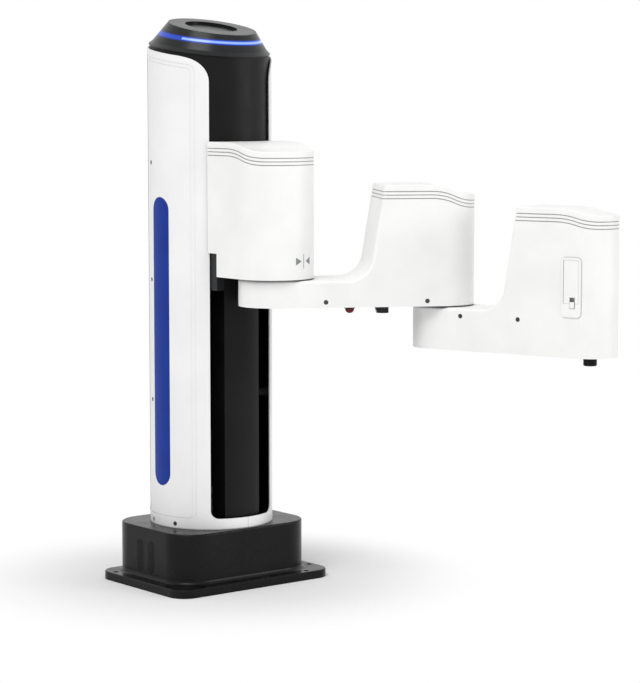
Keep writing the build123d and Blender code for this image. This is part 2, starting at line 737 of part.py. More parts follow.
def power_inlet():
    """Round socket for the power lead, with four pins in its well."""
    face_x = BOX_BACK_X
    inner_x = face_x + PANEL_RECESS
    flange = sleeve_along_x(INLET_RADIUS, INLET_BORE, face_x, inner_x, INLET_Y, PANEL_HEIGHT_MID)
    outer = INLET_RADIUS - LOOSE - RUN_FIT
    well_x = inner_x + INLET_DEPTH
    body = sleeve_along_x(outer, INLET_BORE, inner_x, well_x, INLET_Y, PANEL_HEIGHT_MID)
    end_x = well_x + PANEL_THICKNESS
    body += flange + sleeve_along_x(outer, 0, well_x, end_x, INLET_Y, PANEL_HEIGHT_MID)
    for side_y in (-1, 1):
        for side_z in (-1, 1):
            y = INLET_Y + side_y * INLET_BORE / 3
            z = PANEL_HEIGHT_MID + side_z * INLET_BORE / 3
            body += sleeve_along_x(INLET_PIN, 0, inner_x + INLET_DEPTH / 2, end_x, y, z)
    return body


def switch_pivot_x():
    """How far back the rocker's pivot lies."""
    return BOX_BACK_X + PANEL_RECESS + PANEL_THICKNESS + SWITCH_HEIGHT / 6


def power_switch():
    """Rocker of the power switch, tipped to its off side on two pivot stubs."""
    face = make_face(Polyline(
        (0, -SWITCH_HEIGHT / 2 + SEAT_GAP),
        (-SWITCH_HEIGHT / 4, -SWITCH_HEIGHT / 2 + LOOSE),
        (-SWITCH_HEIGHT / 6, 0),
        (-SWITCH_HEIGHT / 4, SWITCH_HEIGHT / 2 - LOOSE),
        (0, SWITCH_HEIGHT / 2 - SEAT_GAP),
        (SWITCH_HEIGHT / 8, 0),
        close=True,
    ))
    half = SWITCH_WIDTH / 2
    rocker = extrude(Plane.XZ * face, half, both=True)
    ears = SEAT_GAP + PANEL_THICKNESS
    stubs = Rot(90, 0, 0) * Cylinder(SCREW_RADIUS, 2 * (half + ears))
    tipped = Rot(0, SWITCH_ROCK / 2, 0) * (rocker + stubs)
    return Pos(switch_pivot_x(), SWITCH_Y, PANEL_HEIGHT_MID) * tipped


def network_jacks():
    """Two shielded network sockets."""
    jacks = []
    face_x = BOX_BACK_X + PANEL_RECESS
    for y in JACK_YS:
        shell = panel_block((face_x, face_x + JACK_DEPTH), y, JACK_WIDTH, JACK_HEIGHT)
        mouth_x = (face_x, face_x + JACK_MOUTH_DEPTH)
        jacks.append(shell - panel_block(mouth_x, y, JACK_MOUTH_WIDTH, JACK_MOUTH_HEIGHT))
    return jacks


def terminal_block():
    """Two rows of small wire holes for inputs and outputs."""
    face_x = BOX_BACK_X
    body = panel_block(
        (face_x, face_x + JACK_DEPTH), TERMINAL_Y, TERMINAL_WIDTH, TERMINAL_HEIGHT
    )
    pitch = TERMINAL_HEIGHT / TERMINAL_WAYS
    hole = pitch / 2
    holes = []
    for column in (-1, 1):
        for row in range(TERMINAL_WAYS):
            y = TERMINAL_Y + column * TERMINAL_WIDTH / 4
            z = PANEL_HEIGHT_MID + (row - (TERMINAL_WAYS - 1) / 2) * pitch
            holes.append(block(
                (face_x, face_x + JACK_DEPTH / 2),
                (y - hole, y + hole),
                (z - hole / 2, z + hole / 2),
            ))
    return body - holes


def on_fan():
    """Place of the fan's axis, on the inside of the right wall."""
    x = sum(VENT_CENTRES_X) / len(VENT_CENTRES_X)
    return Pos(x, -BOX_WIDTH / 2 + BASE_WALL, VENT_HEIGHT) * Rot(-90, 0, 0)


def fan_frame():
    """Square fan housing with its bearing pin on three struts."""
    frame = extrude(RectangleRounded(FAN_SIZE, FAN_SIZE, FAN_CORNER), FAN_DEPTH)
    frame -= Cylinder(FAN_BORE, FAN_DEPTH, align=LOW_END)
    back = FAN_DEPTH - FAN_STRUT
    frame += Pos(0, 0, back) * Cylinder(FAN_HUB, FAN_STRUT, align=LOW_END)
    reach = FAN_BORE + FAN_STRUT / 2
    spoke = Pos(reach / 2, 0, back) * Box(reach, FAN_STRUT, FAN_STRUT, align=LOW_END)
    for index in range(3):
        frame += Rot(0, 0, 120 * index + 90) * spoke
    frame += Pos(0, 0, FAN_STRUT) * Cylinder(FAN_PIN, back - FAN_STRUT, align=LOW_END)
    return on_fan() * frame


def fan_rotor():
    """Seven-bladed fan wheel on the pin."""
    depth = FAN_DEPTH - FAN_STRUT - FAN_END_GAP - LOOSE
    hub = Cylinder(FAN_HUB, depth, align=LOW_END)
    reach = FAN_TIP - FAN_HUB + LOOSE
    for index in range(FAN_BLADES):
        blade = Rot(BLADE_PITCH, 0, 0) * Box(reach, BLADE_THICKNESS, depth + LOOSE)
        blade = Pos(FAN_HUB - LOOSE + reach / 2, 0, depth / 2) * blade
        hub += Rot(0, 0, 360 / FAN_BLADES * index) * blade
    hub -= Pos(0, 0, -LOOSE) * Cylinder(FAN_PIN + RUN_FIT, depth + 2 * LOOSE, align=LOW_END)
    rotor = hub & Cylinder(FAN_TIP, 2 * depth)
    return on_fan() * Pos(0, 0, FAN_END_GAP) * rotor


def column_motor():
    """Square motor hung under the deck; its bore takes the screw's lower journal."""
    low = DECK_UNDERSIDE - MOTOR_LENGTH
    body = prism(RectangleRounded(MOTOR_SIZE, MOTOR_SIZE, MOTOR_CORNER), low, DECK_UNDERSIDE)
    journal = bar(JOURNAL_RADIUS + RUN_FIT, low + MOTOR_SIZE / 4, DECK_UNDERSIDE)
    return Pos(SPINDLE_X, 0, 0) * (body - journal)


# Column

def rim_cutter(drop):
    """Everything above the slanted rim, lowered by the drop."""
    half = 2 * COLUMN_RADIUS
    left = RIM_HEIGHT - drop + RIM_SLOPE * half
    right = RIM_HEIGHT - drop - RIM_SLOPE * half
    face = make_face(Polyline(
        (-half, left), (half, right), (half, TALL), (-half, TALL), close=True
    ))
    return ON_COLUMN * across(face, half)


def window_cutter():
    """The front window: narrow below, opening out round the shells' top corners."""
    wide = SHELL_CORNER_OUT
    low = WINDOW_BOTTOM
    half = WINDOW_HALF
    arc_in = WINDOW_CORNER
    edges = [
        Line((-half + arc_in, low), (half - arc_in, low)),
        TangentArc((half - arc_in, low), (half, low + arc_in), tangent=(1, 0)),
        Line((half, low + arc_in), (half, SHELL_CORNER_LOW)),
        TangentArc((half, SHELL_CORNER_LOW), (wide, SHELL_CORNER_TOP), tangent=(0, 1)),
        Line((wide, SHELL_CORNER_TOP), (wide, TALL)),
        Line((wide, TALL), (-wide, TALL)),
        Line((-wide, TALL), (-wide, SHELL_CORNER_TOP)),
        TangentArc((-half, SHELL_CORNER_LOW), (-wide, SHELL_CORNER_TOP), tangent=(0, 1)),
        Line((-half, SHELL_CORNER_LOW), (-half, low + arc_in)),
        TangentArc((-half, low + arc_in), (-half + arc_in, low), tangent=(0, -1)),
    ]
    plane = Plane(origin=(COLUMN_X, 0, 0), x_dir=(0, 1, 0), z_dir=(1, 0, 0))
    return extrude(plane * make_face(edges), 2 * COLUMN_RADIUS)


def side_outline(half, low, drop, corner):
    """A rounded outline on the column's side whose top follows the slanted rim."""
    def top(x):
        return RIM_HEIGHT - drop - RIM_SLOPE * x
    points = [(-half, low), (half, low), (half, top(half)), (-half, top(-half))]
    return make_face(FilletPolyline(*points, radius=corner, close=True))


def on_side(face):
    """A face drawn on the right side of the column, as a bar reaching outwards."""
    plane = Plane(origin=(COLUMN_X, 0, 0), x_dir=(1, 0, 0), z_dir=(0, -1, 0))
    return extrude(plane * face, 2 * COLUMN_RADIUS)


def stripe_face():
    """The long stripe with round ends."""
    height = STRIPE_HIGH - STRIPE_LOW
    middle = (STRIPE_HIGH + STRIPE_LOW) / 2
    slot = SlotOverall(height, 2 * STRIPE_HALF, rotation=90)
    return Pos(0, middle) * slot


def ring_screw_places(radius):
    """Screws round the foot of the right shell, seated at the radius."""
    places = []
    for angle in RING_SCREW_ANGLES:
        places.append(ON_COLUMN * Rot(0, 0, -angle) * Pos(radius, 0, RING_SCREW_HEIGHT) * Rot(0, 90, 0))
    return places


def side_screw_places(radius):
    """Screws up the side of the right shell, seated at the radius."""
    places = []
    for height in SIDE_SCREW_HEIGHTS:
        place = ON_COLUMN * Rot(0, 0, -SIDE_SCREW_ANGLE) * Pos(radius, 0, height) * Rot(0, 90, 0)
        places.append(place)
    return places


def column_shell():
    """Right half of the white column skin, with its shallow side panel."""
    low = BOX_TOP
    shell = tube(COLUMN_RADIUS, SHELL_INNER, low, TALL)
    shell -= block((-TALL, TALL), (-SEAM / 2, TALL), (0, 2 * TALL))
    shell = ON_COLUMN * shell
    shell -= rim_cutter(SHELL_BELOW_RIM)
    shell -= window_cutter()
    outer = side_outline(PANEL_HALF_OUTER, PANEL_BOTTOM, PANEL_BELOW_RIM, SIDE_PANEL_CORNER)
    inset = PANEL_HALF_OUTER - PANEL_HALF_INNER
    inner = side_outline(
        PANEL_HALF_INNER, PANEL_BOTTOM, PANEL_BELOW_RIM + inset, SIDE_PANEL_CORNER - inset / 2
    )
    far = 2 * COLUMN_RADIUS
    first = COLUMN_RADIUS - PANEL_STEP
    second = first - PANEL_STEP
    third = second + STRIPE_PROUD - STRIPE_THICKNESS
    shell -= ON_COLUMN * tube(far, first, low, TALL) & on_side(outer)
    shell -= ON_COLUMN * tube(far, second, low, TALL) & on_side(inner)
    shell -= ON_COLUMN * tube(far, third, low, TALL) & on_side(stripe_face())
    seats = ring_screw_places(INSIDE_RADIUS) + side_screw_places(INSIDE_RADIUS)
    return shell - [head_hole(place, 2 * SHELL_WALL) for place in seats]


def side_stripe():
    """Thin stripe let into the right side panel."""
    outer = COLUMN_RADIUS - 2 * PANEL_STEP + STRIPE_PROUD
    ring = ON_COLUMN * tube(outer, outer - STRIPE_THICKNESS, BOX_TOP, TALL)
    return ring & on_side(stripe_face())


def column_foot_ring():
    """Ring on the deck that the shells are screwed to, with a tongue behind the front cover."""
    top = BOX_TOP + RING_HEIGHT
    ring = tube(INSIDE_RADIUS, RING_INNER, BOX_TOP, top)
    tongue_outer = FRONT_COVER_INNER - SLIDE_FIT
    half = FRONT_COVER_HALF - FRONT_COVER_WALL - SEAT_GAP
    tongue = tube(tongue_outer, tongue_outer - COVER_WALL, BOX_TOP, top + RING_HEIGHT)
    tongue &= block((0, COLUMN_RADIUS), (-half, half), (0, TALL))
    ring = ON_COLUMN * (ring + tongue)
    holes = [screw_hole(place) for place in ring_screw_places(INSIDE_RADIUS)]
    for hole in holes:
        ring -= both_sides(hole)
    return ring


def shell_brackets():
    """Three C-shaped plates round the mast that carry the shells' side screws."""
    brackets = []
    for height in SIDE_SCREW_HEIGHTS:
        low = height - SHELL_BRACKET / 2
        plate = ON_COLUMN * bar(INSIDE_RADIUS, low, low + SHELL_BRACKET)
        plate -= prism(mast_outline(), 0, TALL)
        plate -= block((MAST_FRONT_X - MAST_WALL, TALL), (-TALL, TALL), (0, TALL))
        plate -= wiring_slot(low, low + SHELL_BRACKET)
        brackets.append(plate)
    holes = [screw_hole(place) for place in side_screw_places(INSIDE_RADIUS)]
    return [
        plate - [part for hole in holes for part in both_sides(hole)] for plate in brackets
    ]


def wiring_slot(low, high):
    """Slot behind the mast for wires to pass."""
    front = MAST_FRONT_X - MAST_DEPTH - MAST_WALL
    quarter = MAST_WIDTH / 4
    return block((front - 2 * MAST_WALL, front), (-quarter, quarter), (low, high))


def column_screws():
    """All the screws of both shells."""
    screws = []
    for place in ring_screw_places(INSIDE_RADIUS) + side_screw_places(INSIDE_RADIUS):
        screws += both_sides(cap_screw(place))
    return screws


def front_cover():
    """Narrow curved cover down the middle of the window, with sides turned inwards."""
    low = WINDOW_BOTTOM + SEAT_GAP
    high = TOP_PLATE_HEIGHT - SEAT_GAP
    outline = Circle(FRONT_COVER_RADIUS) - Circle(FRONT_COVER_INNER)
    half = FRONT_COVER_HALF
    outline &= Pos(FRONT_COVER_RADIUS, 0) * Rectangle(2 * FRONT_COVER_RADIUS, 2 * half)
    edge_x = sqrt(FRONT_COVER_RADIUS ** 2 - half ** 2)
    root_x = sqrt(FRONT_COVER_INNER ** 2 - (half - FRONT_COVER_WALL) ** 2)
    back_x = BRACKET_X + BRACKET_THICKNESS + FRONT_COVER_BACK_GAP - COLUMN_X
    length = root_x - back_x
    for side in (-1, 1):
        wall = Rectangle(length, FRONT_COVER_WALL, align=(Align.MAX, Align.CENTER))
        outline += Pos(root_x, side * (half - FRONT_COVER_WALL / 2)) * wall
    outline &= Pos(edge_x, 0) * Rectangle(4 * half, 2 * half)
    return ON_COLUMN * prism(outline, low, high)


def upper_cover():
    """Black cover that fills the top of the window and runs round under the cap."""
    body = tube(INSIDE_RADIUS, UPPER_COVER_INNER, UPPER_COVER_BOTTOM, TALL)
    body -= block((-TALL, COLUMN_RADIUS / 2), (-TALL, TALL), (0, COLLAR_BOTTOM))
    return ON_COLUMN * body - rim_cutter(0)


def top_plate():
    """Plate on the mast that holds the upper cover, the cap and the front cover's top."""
    radius = UPPER_COVER_INNER - SLIDE_FIT
    plate = bar(radius, TOP_PLATE_HEIGHT, TOP_PLATE_TOP)
    tongue_outer = FRONT_COVER_INNER - SLIDE_FIT
    half = FRONT_COVER_HALF - FRONT_COVER_WALL - SEAT_GAP
    low = TOP_PLATE_HEIGHT - 2 * RING_HEIGHT
    tongue = tube(tongue_outer, tongue_outer - COVER_WALL, low, TOP_PLATE_HEIGHT)
    tongue &= block((0, COLUMN_RADIUS), (-half, half), (0, TALL))
    hole = bar(CHANNEL_WIDTH / 2, TOP_PLATE_HEIGHT, TOP_PLATE_TOP, SPINDLE_X - COLUMN_X)
    return ON_COLUMN * (plate + tongue - hole)


def top_cap():
    """Hollow tilted cap: bevelled lip, cone, flat top with a round dish, and a skirt inside."""
    skirt = UPPER_COVER_INNER - SEAT_GAP - CAP_SKIRT * RIM_SLOPE
    peak = CAP_HEIGHT + CAP_TOP_RADIUS * CAP_TOP_SLOPE + LOOSE
    outside = [
        (0, -CAP_SKIRT),
        (skirt, -CAP_SKIRT),
        (skirt, SLIDE_FIT),
        (CAP_LIP_RADIUS - CAP_BEAD, SLIDE_FIT),
        (CAP_LIP_RADIUS, SLIDE_FIT + CAP_BEAD),
        (CAP_LIP_RADIUS, CAP_LIP_EDGE),
        (CAP_FOOT_RADIUS, CAP_FOOT_HEIGHT),
        (cone_radius(peak), peak),
        (0, peak),
    ]
    inside = [
        (0, -CAP_SKIRT),
        (skirt - CAP_WALL, -CAP_SKIRT),
        (skirt - CAP_WALL, CAP_LIP_EDGE),
        (cone_radius(peak) - CAP_WALL, peak),
        (0, peak),
    ]
    body, room = [
        revolve(Plane.XZ * make_face(Polyline(*points, close=True)), axis=Axis.Z)
        for points in (outside, inside)
    ]
    well = CAP_TOP * Cylinder(CAP_DISH_RADIUS, 2 * CAP_DISH_DEPTH)
    pan = CAP_TOP * Cylinder(CAP_DISH_RADIUS + CAP_WALL, 2 * (CAP_DISH_DEPTH + CAP_WALL))
    room = room - above_cap(-CAP_WALL) - pan
    body = body - above_cap(0) - well - room
    return CAP_TILT * (body - band_ring(BAND_DEPTH + SEAT_GAP, SEAT_GAP))


def above_cap(lift):
    """Everything above the cap's top face, raised by the lift."""
    side = 4 * COLUMN_RADIUS
    return CAP_TOP * Pos(0, 0, lift) * Box(side, side, side, align=LOW_END)


def cone_radius(height):
    """Radius of the cap's cone at a height above the rim."""
    share = (height - CAP_FOOT_HEIGHT) / (CAP_HEIGHT - CAP_FOOT_HEIGHT)
    return CAP_FOOT_RADIUS - share * CAP_CONE_STEP


def band_ring(depth, gap):
    """A stretch of ring round the front of the cone, to cut or to fill."""
    low = BAND_LOW - gap
    high = BAND_HIGH + gap
    face = make_face(Polyline(
        (cone_radius(low) - depth, low),
        (cone_radius(low) + BAND_PROUD, low),
        (cone_radius(high) + BAND_PROUD, high),
        (cone_radius(high) - depth, high),
        close=True,
    ))
    reach = BAND_HALF_ANGLE + gap
    return Rot(0, 0, -reach) * revolve(Plane.XZ * face, axis=Axis.Z, revolution_arc=2 * reach)


def light_band():
    """Light guide let into the front of the cap."""
    return CAP_TILT * band_ring(BAND_DEPTH, 0)


# Mast and screw

def mast_outline():
    """The mast seen from above, with rounded corners."""
    middle = MAST_FRONT_X - MAST_DEPTH / 2
    return Pos(middle, 0) * RectangleRounded(MAST_DEPTH, MAST_WIDTH, MAST_CORNER)


def mast():
    """Aluminium section with a channel for the screw and a chamber in each side."""
    back = MAST_FRONT_X - MAST_DEPTH
    half = MAST_WIDTH / 2
    body = prism(mast_outline(), BOX_TOP, TOP_PLATE_HEIGHT)
    channel = CHANNEL_WIDTH / 2
    body -= block((MAST_FRONT_X - CHANNEL_DEPTH, MAST_FRONT_X), (-channel, channel), (0, TALL))
    chamber = block(
        (back + MAST_WALL, MAST_FRONT_X - MAST_WALL),
        (channel + MAST_WALL, half - MAST_WALL),
        (0, TALL),
    )
    return body - both_sides(chamber)


def linear_rails():
    """Two guide rails on the front of the mast."""
    y = RAIL_SPACING / 2
    rail = block(
        (MAST_FRONT_X, RAIL_TOP_X), (y - RAIL_WIDTH / 2, y + RAIL_WIDTH / 2), (RAIL_LOW, RAIL_HIGH)
    )
    return both_sides(rail)


def screw_bearing(low):
    """Bearing block across the channel, bored for the screw."""
    half = CHANNEL_WIDTH / 2 - SLIDE_FIT
    back = MAST_FRONT_X - CHANNEL_DEPTH
    body = block((back, back + BEARING_REACH), (-half, half), (low, low + BEARING_THICKNESS))
    return body - bar(SPINDLE_RADIUS + RUN_FIT, low, low + BEARING_THICKNESS, SPINDLE_X)


def ball_screw():
    """Screw spindle with a thin journal down into the motor; its thread is left plain."""
    coupling_low = BOX_TOP + COUPLING_LIFT
    journal_top = coupling_low + COUPLING_LENGTH / 2
    journal_low = DECK_UNDERSIDE - MOTOR_LENGTH / 2
    spindle = bar(SPINDLE_RADIUS, journal_top, SPINDLE_TOP)
    return Pos(SPINDLE_X, 0, 0) * (spindle + bar(JOURNAL_RADIUS, journal_low, journal_top))


def screw_coupling():
    """Clamping sleeve between motor and screw."""
    low = BOX_TOP + COUPLING_LIFT
    middle = low + COUPLING_LENGTH / 2
    high = low + COUPLING_LENGTH
    body = bar(COUPLING_RADIUS, low, high)
    body -= bar(JOURNAL_RADIUS + RUN_FIT, low, middle)
    body -= bar(SPINDLE_RADIUS + RUN_FIT, middle, high)
    return Pos(SPINDLE_X, 0, 0) * body


# Carriage and shoulder

def carriage_bracket():
    """Back plate behind the front cover, two wings out through the window, and the nut lug."""
    face = make_face(Polyline(
        (BRACKET_X, BRACKET_LOW),
        (WING_STEP_X, BRACKET_LOW),
        (WING_STEP_X, CASTING_LOW),
        (WING_END_X, CASTING_LOW),
        (WING_END_X, BRACKET_HIGH - WING_TOP_CUT),
        (WING_STEP_X, BRACKET_HIGH),
        (BRACKET_X, BRACKET_HIGH),
        close=True,
    ))
    body = across(face, WING_OUTER)
    inner_x = BRACKET_X + BRACKET_THICKNESS
    body -= block((inner_x, TALL), (-WING_INNER, WING_INNER), (0, TALL))
    lug_low = NUT_LOW + NUT_FLANGE_THICKNESS
    lug = block(
        (SPINDLE_X - LUG_BACK, BRACKET_X), (-LUG_HALF, LUG_HALF), (lug_low, NUT_LOW + NUT_LENGTH)
    )
    body += lug
    return body - bar(NUT_RADIUS + SLIDE_FIT, lug_low, NUT_LOW + NUT_LENGTH, SPINDLE_X)


def rail_blocks():
    """Four guide blocks that ride the rails."""
    y = RAIL_SPACING / 2
    middle = (BRACKET_LOW + BRACKET_HIGH) / 2
    blocks = []
    for side in (-1, 1):
        centre = middle + side * BLOCK_SPACING / 2
        span = (centre - RAIL_BLOCK_LENGTH / 2, centre + RAIL_BLOCK_LENGTH / 2)
        body = block(
            (MAST_FRONT_X + RAIL_BLOCK_LIFT, BRACKET_X),
            (y - RAIL_BLOCK_WIDTH / 2, y + RAIL_BLOCK_WIDTH / 2),
            span,
        )
        half = RAIL_WIDTH / 2 + SLIDE_FIT
        body -= block((-TALL, RAIL_TOP_X + SLIDE_FIT), (y - half, y + half), span)
        blocks += both_sides(body)
    return blocks


def screw_nut():
    """Flanged ball nut in the lug."""
    body = bar(NUT_RADIUS, NUT_LOW, NUT_LOW + NUT_LENGTH)
    body += bar(NUT_FLANGE, NUT_LOW, NUT_LOW + NUT_FLANGE_THICKNESS)
    body -= bar(SPINDLE_RADIUS + RUN_FIT, NUT_LOW, NUT_LOW + NUT_LENGTH)
    return Pos(SPINDLE_X, 0, 0) * body


def shoulder_outline(inset=0.0):
    """Shoulder seen from above: round nose, straight sides and a back that hugs the column."""
    half = SHOULDER_RADIUS - inset
    body = Pos(J1_X, 0) * Circle(half)
    body += Pos(J1_X / 2, 0) * Rectangle(J1_X, 2 * half)
    return body - Pos(COLUMN_X, 0) * Circle(COLUMN_RADIUS + SHOULDER_COLUMN_GAP)


def stepped_top(housing, end, drop):
    """The top line of a housing in side view: flat, a gentle step of two arcs, lower nose."""
    back = housing.back - drop
    front = back - housing.step
    middle = ((housing.step_start + housing.step_end) / 2, (back + front) / 2)
    return [
        TangentArc((housing.step_start, back), middle, tangent=(1, 0)),
        TangentArc((housing.step_end, front), middle, tangent=(-1, 0)),
        Line((housing.step_end, front), (end, front)),
    ]


def under_top(housing, end, low, drop=0.0):
    """Everything under a housing's top line, in side view."""
    back = housing.back - drop
    front = back - housing.step
    lines = stepped_top(housing, end, drop)
    lines += Polyline(
        (end, front), (end, low), (0, low), (0, back), (housing.step_start, back)
    ).edges()
    return make_face(lines)


def grooves(housing, end, skin):
    """Three thin grooves that follow the top line, as deep as the skin is thick."""
    cuts = []
    for drop in GROOVE_DROPS:
        above = across(under_top(housing, end, 0, drop), TALL / 4)
        below = across(under_top(housing, end, 0, drop + GROOVE_HEIGHT), TALL / 4)
        cuts += ((above - below) & skin).solids()
    return cuts


def lies_along_y(edge):
    """Whether an edge runs straight from side to side."""
    return abs((edge @ 1 - edge @ 0).Y) > 0.999 * edge.length


def shoulder_form(inset, low):
    """The shoulder's outer shape drawn in by the inset, down to the given height."""
    end = J1_X + 2 * SHOULDER_RADIUS
    form = across(under_top(SHOULDER, end, low, inset), TALL / 4)
    return form & prism(shoulder_outline(inset), low, TALL)


def shoulder_housing():
    """Moulded shoulder cover, open below and towards the column."""
    low = SHOULDER_BOTTOM
    nose_top = SHOULDER.back - SHOULDER.step
    back_radius = COLUMN_RADIUS + SHOULDER_COLUMN_GAP
    outer = shoulder_form(0, low)
    rim = []
    for edge in outer.edges():
        middle = edge @ 0.5
        on_back = hypot(middle.X - COLUMN_X, middle.Y) < back_radius + SEAT_GAP
        if middle.Z > nose_top - SEAT_GAP and not lies_along_y(edge) and not on_back:
            rim.append(edge)
    outer = fillet(rim, TOP_EDGE)
    end = J1_X + 2 * SHOULDER_RADIUS
    cavity = across(under_top(SHOULDER, end, low - COVER_WALL, COVER_WALL), TALL / 4)
    half = SHOULDER_RADIUS - COVER_WALL
    room = Pos(J1_X, 0) * Circle(half) + Pos(J1_X / 2, 0) * Rectangle(J1_X, 2 * half)
    body = outer - (cavity & prism(room, low - COVER_WALL, TALL))
    skin = shoulder_form(0, low) - shoulder_form(GROOVE_DEPTH, low)
    body -= grooves(SHOULDER, end, skin)
    notch_start = COLUMN_X + sqrt(back_radius ** 2 - SHOULDER_RADIUS ** 2)
    half_notch = SHOULDER_RADIUS + LOOSE
    notch = block(
        (0, notch_start + NOTCH_DEPTH), (-half_notch, half_notch), (low, low + NOTCH_HEIGHT)
    )
    return body - notch


def shoulder_casting():
    """Casting between the wings that holds the first joint's gear and motor."""
    half = SHOULDER_RADIUS - COVER_WALL - SEAT_GAP
    outline = Pos(J1_X, 0) * Circle(half)
    outline += Pos(J1_X / 2, 0) * Rectangle(J1_X, 2 * half)
    outline -= Pos(COLUMN_X, 0) * Circle(FRONT_COVER_RADIUS + CASTING_COVER_GAP)
    for side in (-1, 1):
        wing_gap = Rectangle(2 * (WING_END_X + SLIDE_FIT), 2 * half)
        outline -= Pos(0, side * (WING_INNER + half)) * wing_gap
    body = prism(outline, CASTING_LOW, CASTING_LOW + CASTING_HEIGHT)
    return body - bar(J1_REDUCER_RADIUS + RUN_FIT, CASTING_LOW, TALL, J1_X)


def reducer(radius, height, spigot, low):
    """Flat gear unit with a bore below for the turning hub's spigot."""
    body = bar(radius, low, low + height)
    return body - bar(spigot + RUN_FIT, low, low + SPIGOT_HEIGHT + LOOSE)


def drive_motor(radius, height, low):
    """Round motor with a stepped encoder cap."""
    body = bar(radius, low, low + MOTOR_CASE_SHARE * height)
    return body + bar(MOTOR_CAP_SHARE * radius, low, low + height)


def j1_reducer():
    """Gear unit of the first joint."""
    body = reducer(J1_REDUCER_RADIUS, J1_REDUCER_HEIGHT, J1_SPIGOT_RADIUS, CASTING_LOW)
    return Pos(J1_X, 0, 0) * body


def j1_motor():
    """Motor of the first joint, standing on its gear unit."""
    low = CASTING_LOW + J1_REDUCER_HEIGHT
    return Pos(J1_X, 0, 0) * drive_motor(J1_MOTOR_RADIUS, J1_MOTOR_HEIGHT, low)


# Arms

def arm_outline(half):
    """An arm seen from above: two round ends on the joint axes."""
    return Pos(LINK_LENGTH / 2, 0) * SlotCenterToCenter(LINK_LENGTH, 2 * half)


def arm_profile(arm, inset, low):
    """Side view of an arm: low body, hollow foot, leaning back and stepped top."""
    lean = radians(LEAN_DEGREES)
    foot = FOOT_RADIUS + inset
    run = foot * tan((radians(90) - lean) / 2)
    slab = arm.slab - inset
    back = arm.back - inset
    root = arm.root + inset / cos(lean) - inset * tan(lean)
    foot_start = (root - run, slab)
    foot_end = (root + run * sin(lean), slab + run * cos(lean))
    crest = (root + (back - slab) * tan(lean), back)
    far = LINK_LENGTH + 2 * arm.half
    near = -2 * arm.half
    lines = [
        TangentArc(foot_start, foot_end, tangent=(1, 0)),
        Line(foot_end, crest),
        Line(crest, (arm.step_start, back)),
    ]
    lines += stepped_top(arm, far, inset)
    lines += Polyline(
        (far, back - arm.step), (far, low), (near, low), (near, slab), foot_start
    ).edges()
    return make_face(lines)


def arm_form(arm, inset, low):
    """An arm's outer shape drawn in by the inset, with its long edges rounded."""
    form = across(arm_profile(arm, inset, low), 2 * arm.half)
    form &= prism(arm_outline(arm.half - inset), low, TALL)
    floor = arm.slab - inset - SEAT_GAP
    ceiling = arm.back - arm.step - inset - LOOSE
    chain = []
    for edge in form.edges():
        height = (edge @ 0.5).Z
        upright = abs((edge @ 1 - edge @ 0).Z) > 0.999 * edge.length
        if floor < height < ceiling and not upright and not lies_along_y(edge):
            chain.append(edge)
    return fillet(chain, ARM_EDGE - inset)


def arm_cover(arm):
    """Moulded arm cover with its motor housing, open below."""
    outer = arm_form(arm, 0, arm.low)
    crest = arm.root + (arm.back - arm.slab) * tan(radians(LEAN_DEGREES))
    rim = []
    for edge in outer.edges():
        middle = edge @ 0.5
        seam = lies_along_y(edge) and middle.X > crest + LOOSE
        if middle.Z > arm.back - arm.step - SEAT_GAP and not seam:
            rim.append(edge)
    body = fillet(rim, TOP_EDGE)
    body -= arm_form(arm, COVER_WALL, arm.low - COVER_WALL)
    skin = outer - arm_form(arm, GROOVE_DEPTH, arm.low)
    return body - grooves(arm, LINK_LENGTH + 2 * arm.half, skin)


def side_screw_spots(half, stations, height, depth):
    """Places of an arm's side screws, seated on the frame inside the cover."""
    places = []
    for along in stations:
        for side in (-1, 1):
            places.append(
                Pos(along, side * (half - depth), height) * Rot(-90 * side, 0, 0)
            )
    return places


def upper_screw_places():
    """Side screws of the upper arm."""
    height = UPPER_BOTTOM + UPPER_SCREW_HEIGHT
    stations = (UPPER_SCREW_START, LINK_LENGTH - UPPER_SCREW_BACK)
    return side_screw_spots(UPPER_HALF, stations, height, COVER_WALL + SLIDE_FIT)


def upper_arm_cover():
    """White cover of the upper arm and elbow, with a hole for the first joint's hub."""
    body = arm_cover(UPPER_ARM)
    body -= bar(J1_HUB_RADIUS + LOOSE, UPPER_PLATE_TOP, UPPER_TOP + LOOSE)
    body -= [head_hole(place, 2 * COVER_WALL) for place in upper_screw_places()]
    return ON_UPPER * body


def upper_arm_plate():
    """Aluminium plate of the upper arm, bored for the elbow, button and connector."""
    outline = arm_outline(UPPER_HALF - COVER_WALL - SLIDE_FIT)
    body = prism(outline, UPPER_BOTTOM, UPPER_PLATE_TOP)
    cuts = [bar(J2_HUB_RADIUS + LOOSE, UPPER_BOTTOM, UPPER_PLATE_TOP, LINK_LENGTH)]
    cuts.append(bar(BARREL_RADIUS + SLIDE_FIT, UPPER_BOTTOM, UPPER_PLATE_TOP, BUTTON_AT))
    cuts.append(bar(CONNECTOR_RADIUS + SLIDE_FIT, UPPER_BOTTOM, UPPER_PLATE_TOP, CONNECTOR_AT))
    cuts += [screw_hole(place) for place in upper_screw_places()]
    return ON_UPPER * (body - cuts)


def upper_arm_screws():
    """Four side screws of the upper arm."""
    return [ON_UPPER * cap_screw(place) for place in upper_screw_places()]


def turning_hub(radius, spigot, low, seat):
    """Hub that hangs from a gear unit: a drum up to its seat and a spigot into it."""
    return bar(radius, low, seat) + bar(spigot, seat, seat + SPIGOT_HEIGHT)


def j1_hub():
    """Hub that hangs the upper arm from the shoulder."""
    return ON_UPPER * turning_hub(J1_HUB_RADIUS, J1_SPIGOT_RADIUS, UPPER_PLATE_TOP, CASTING_LOW)


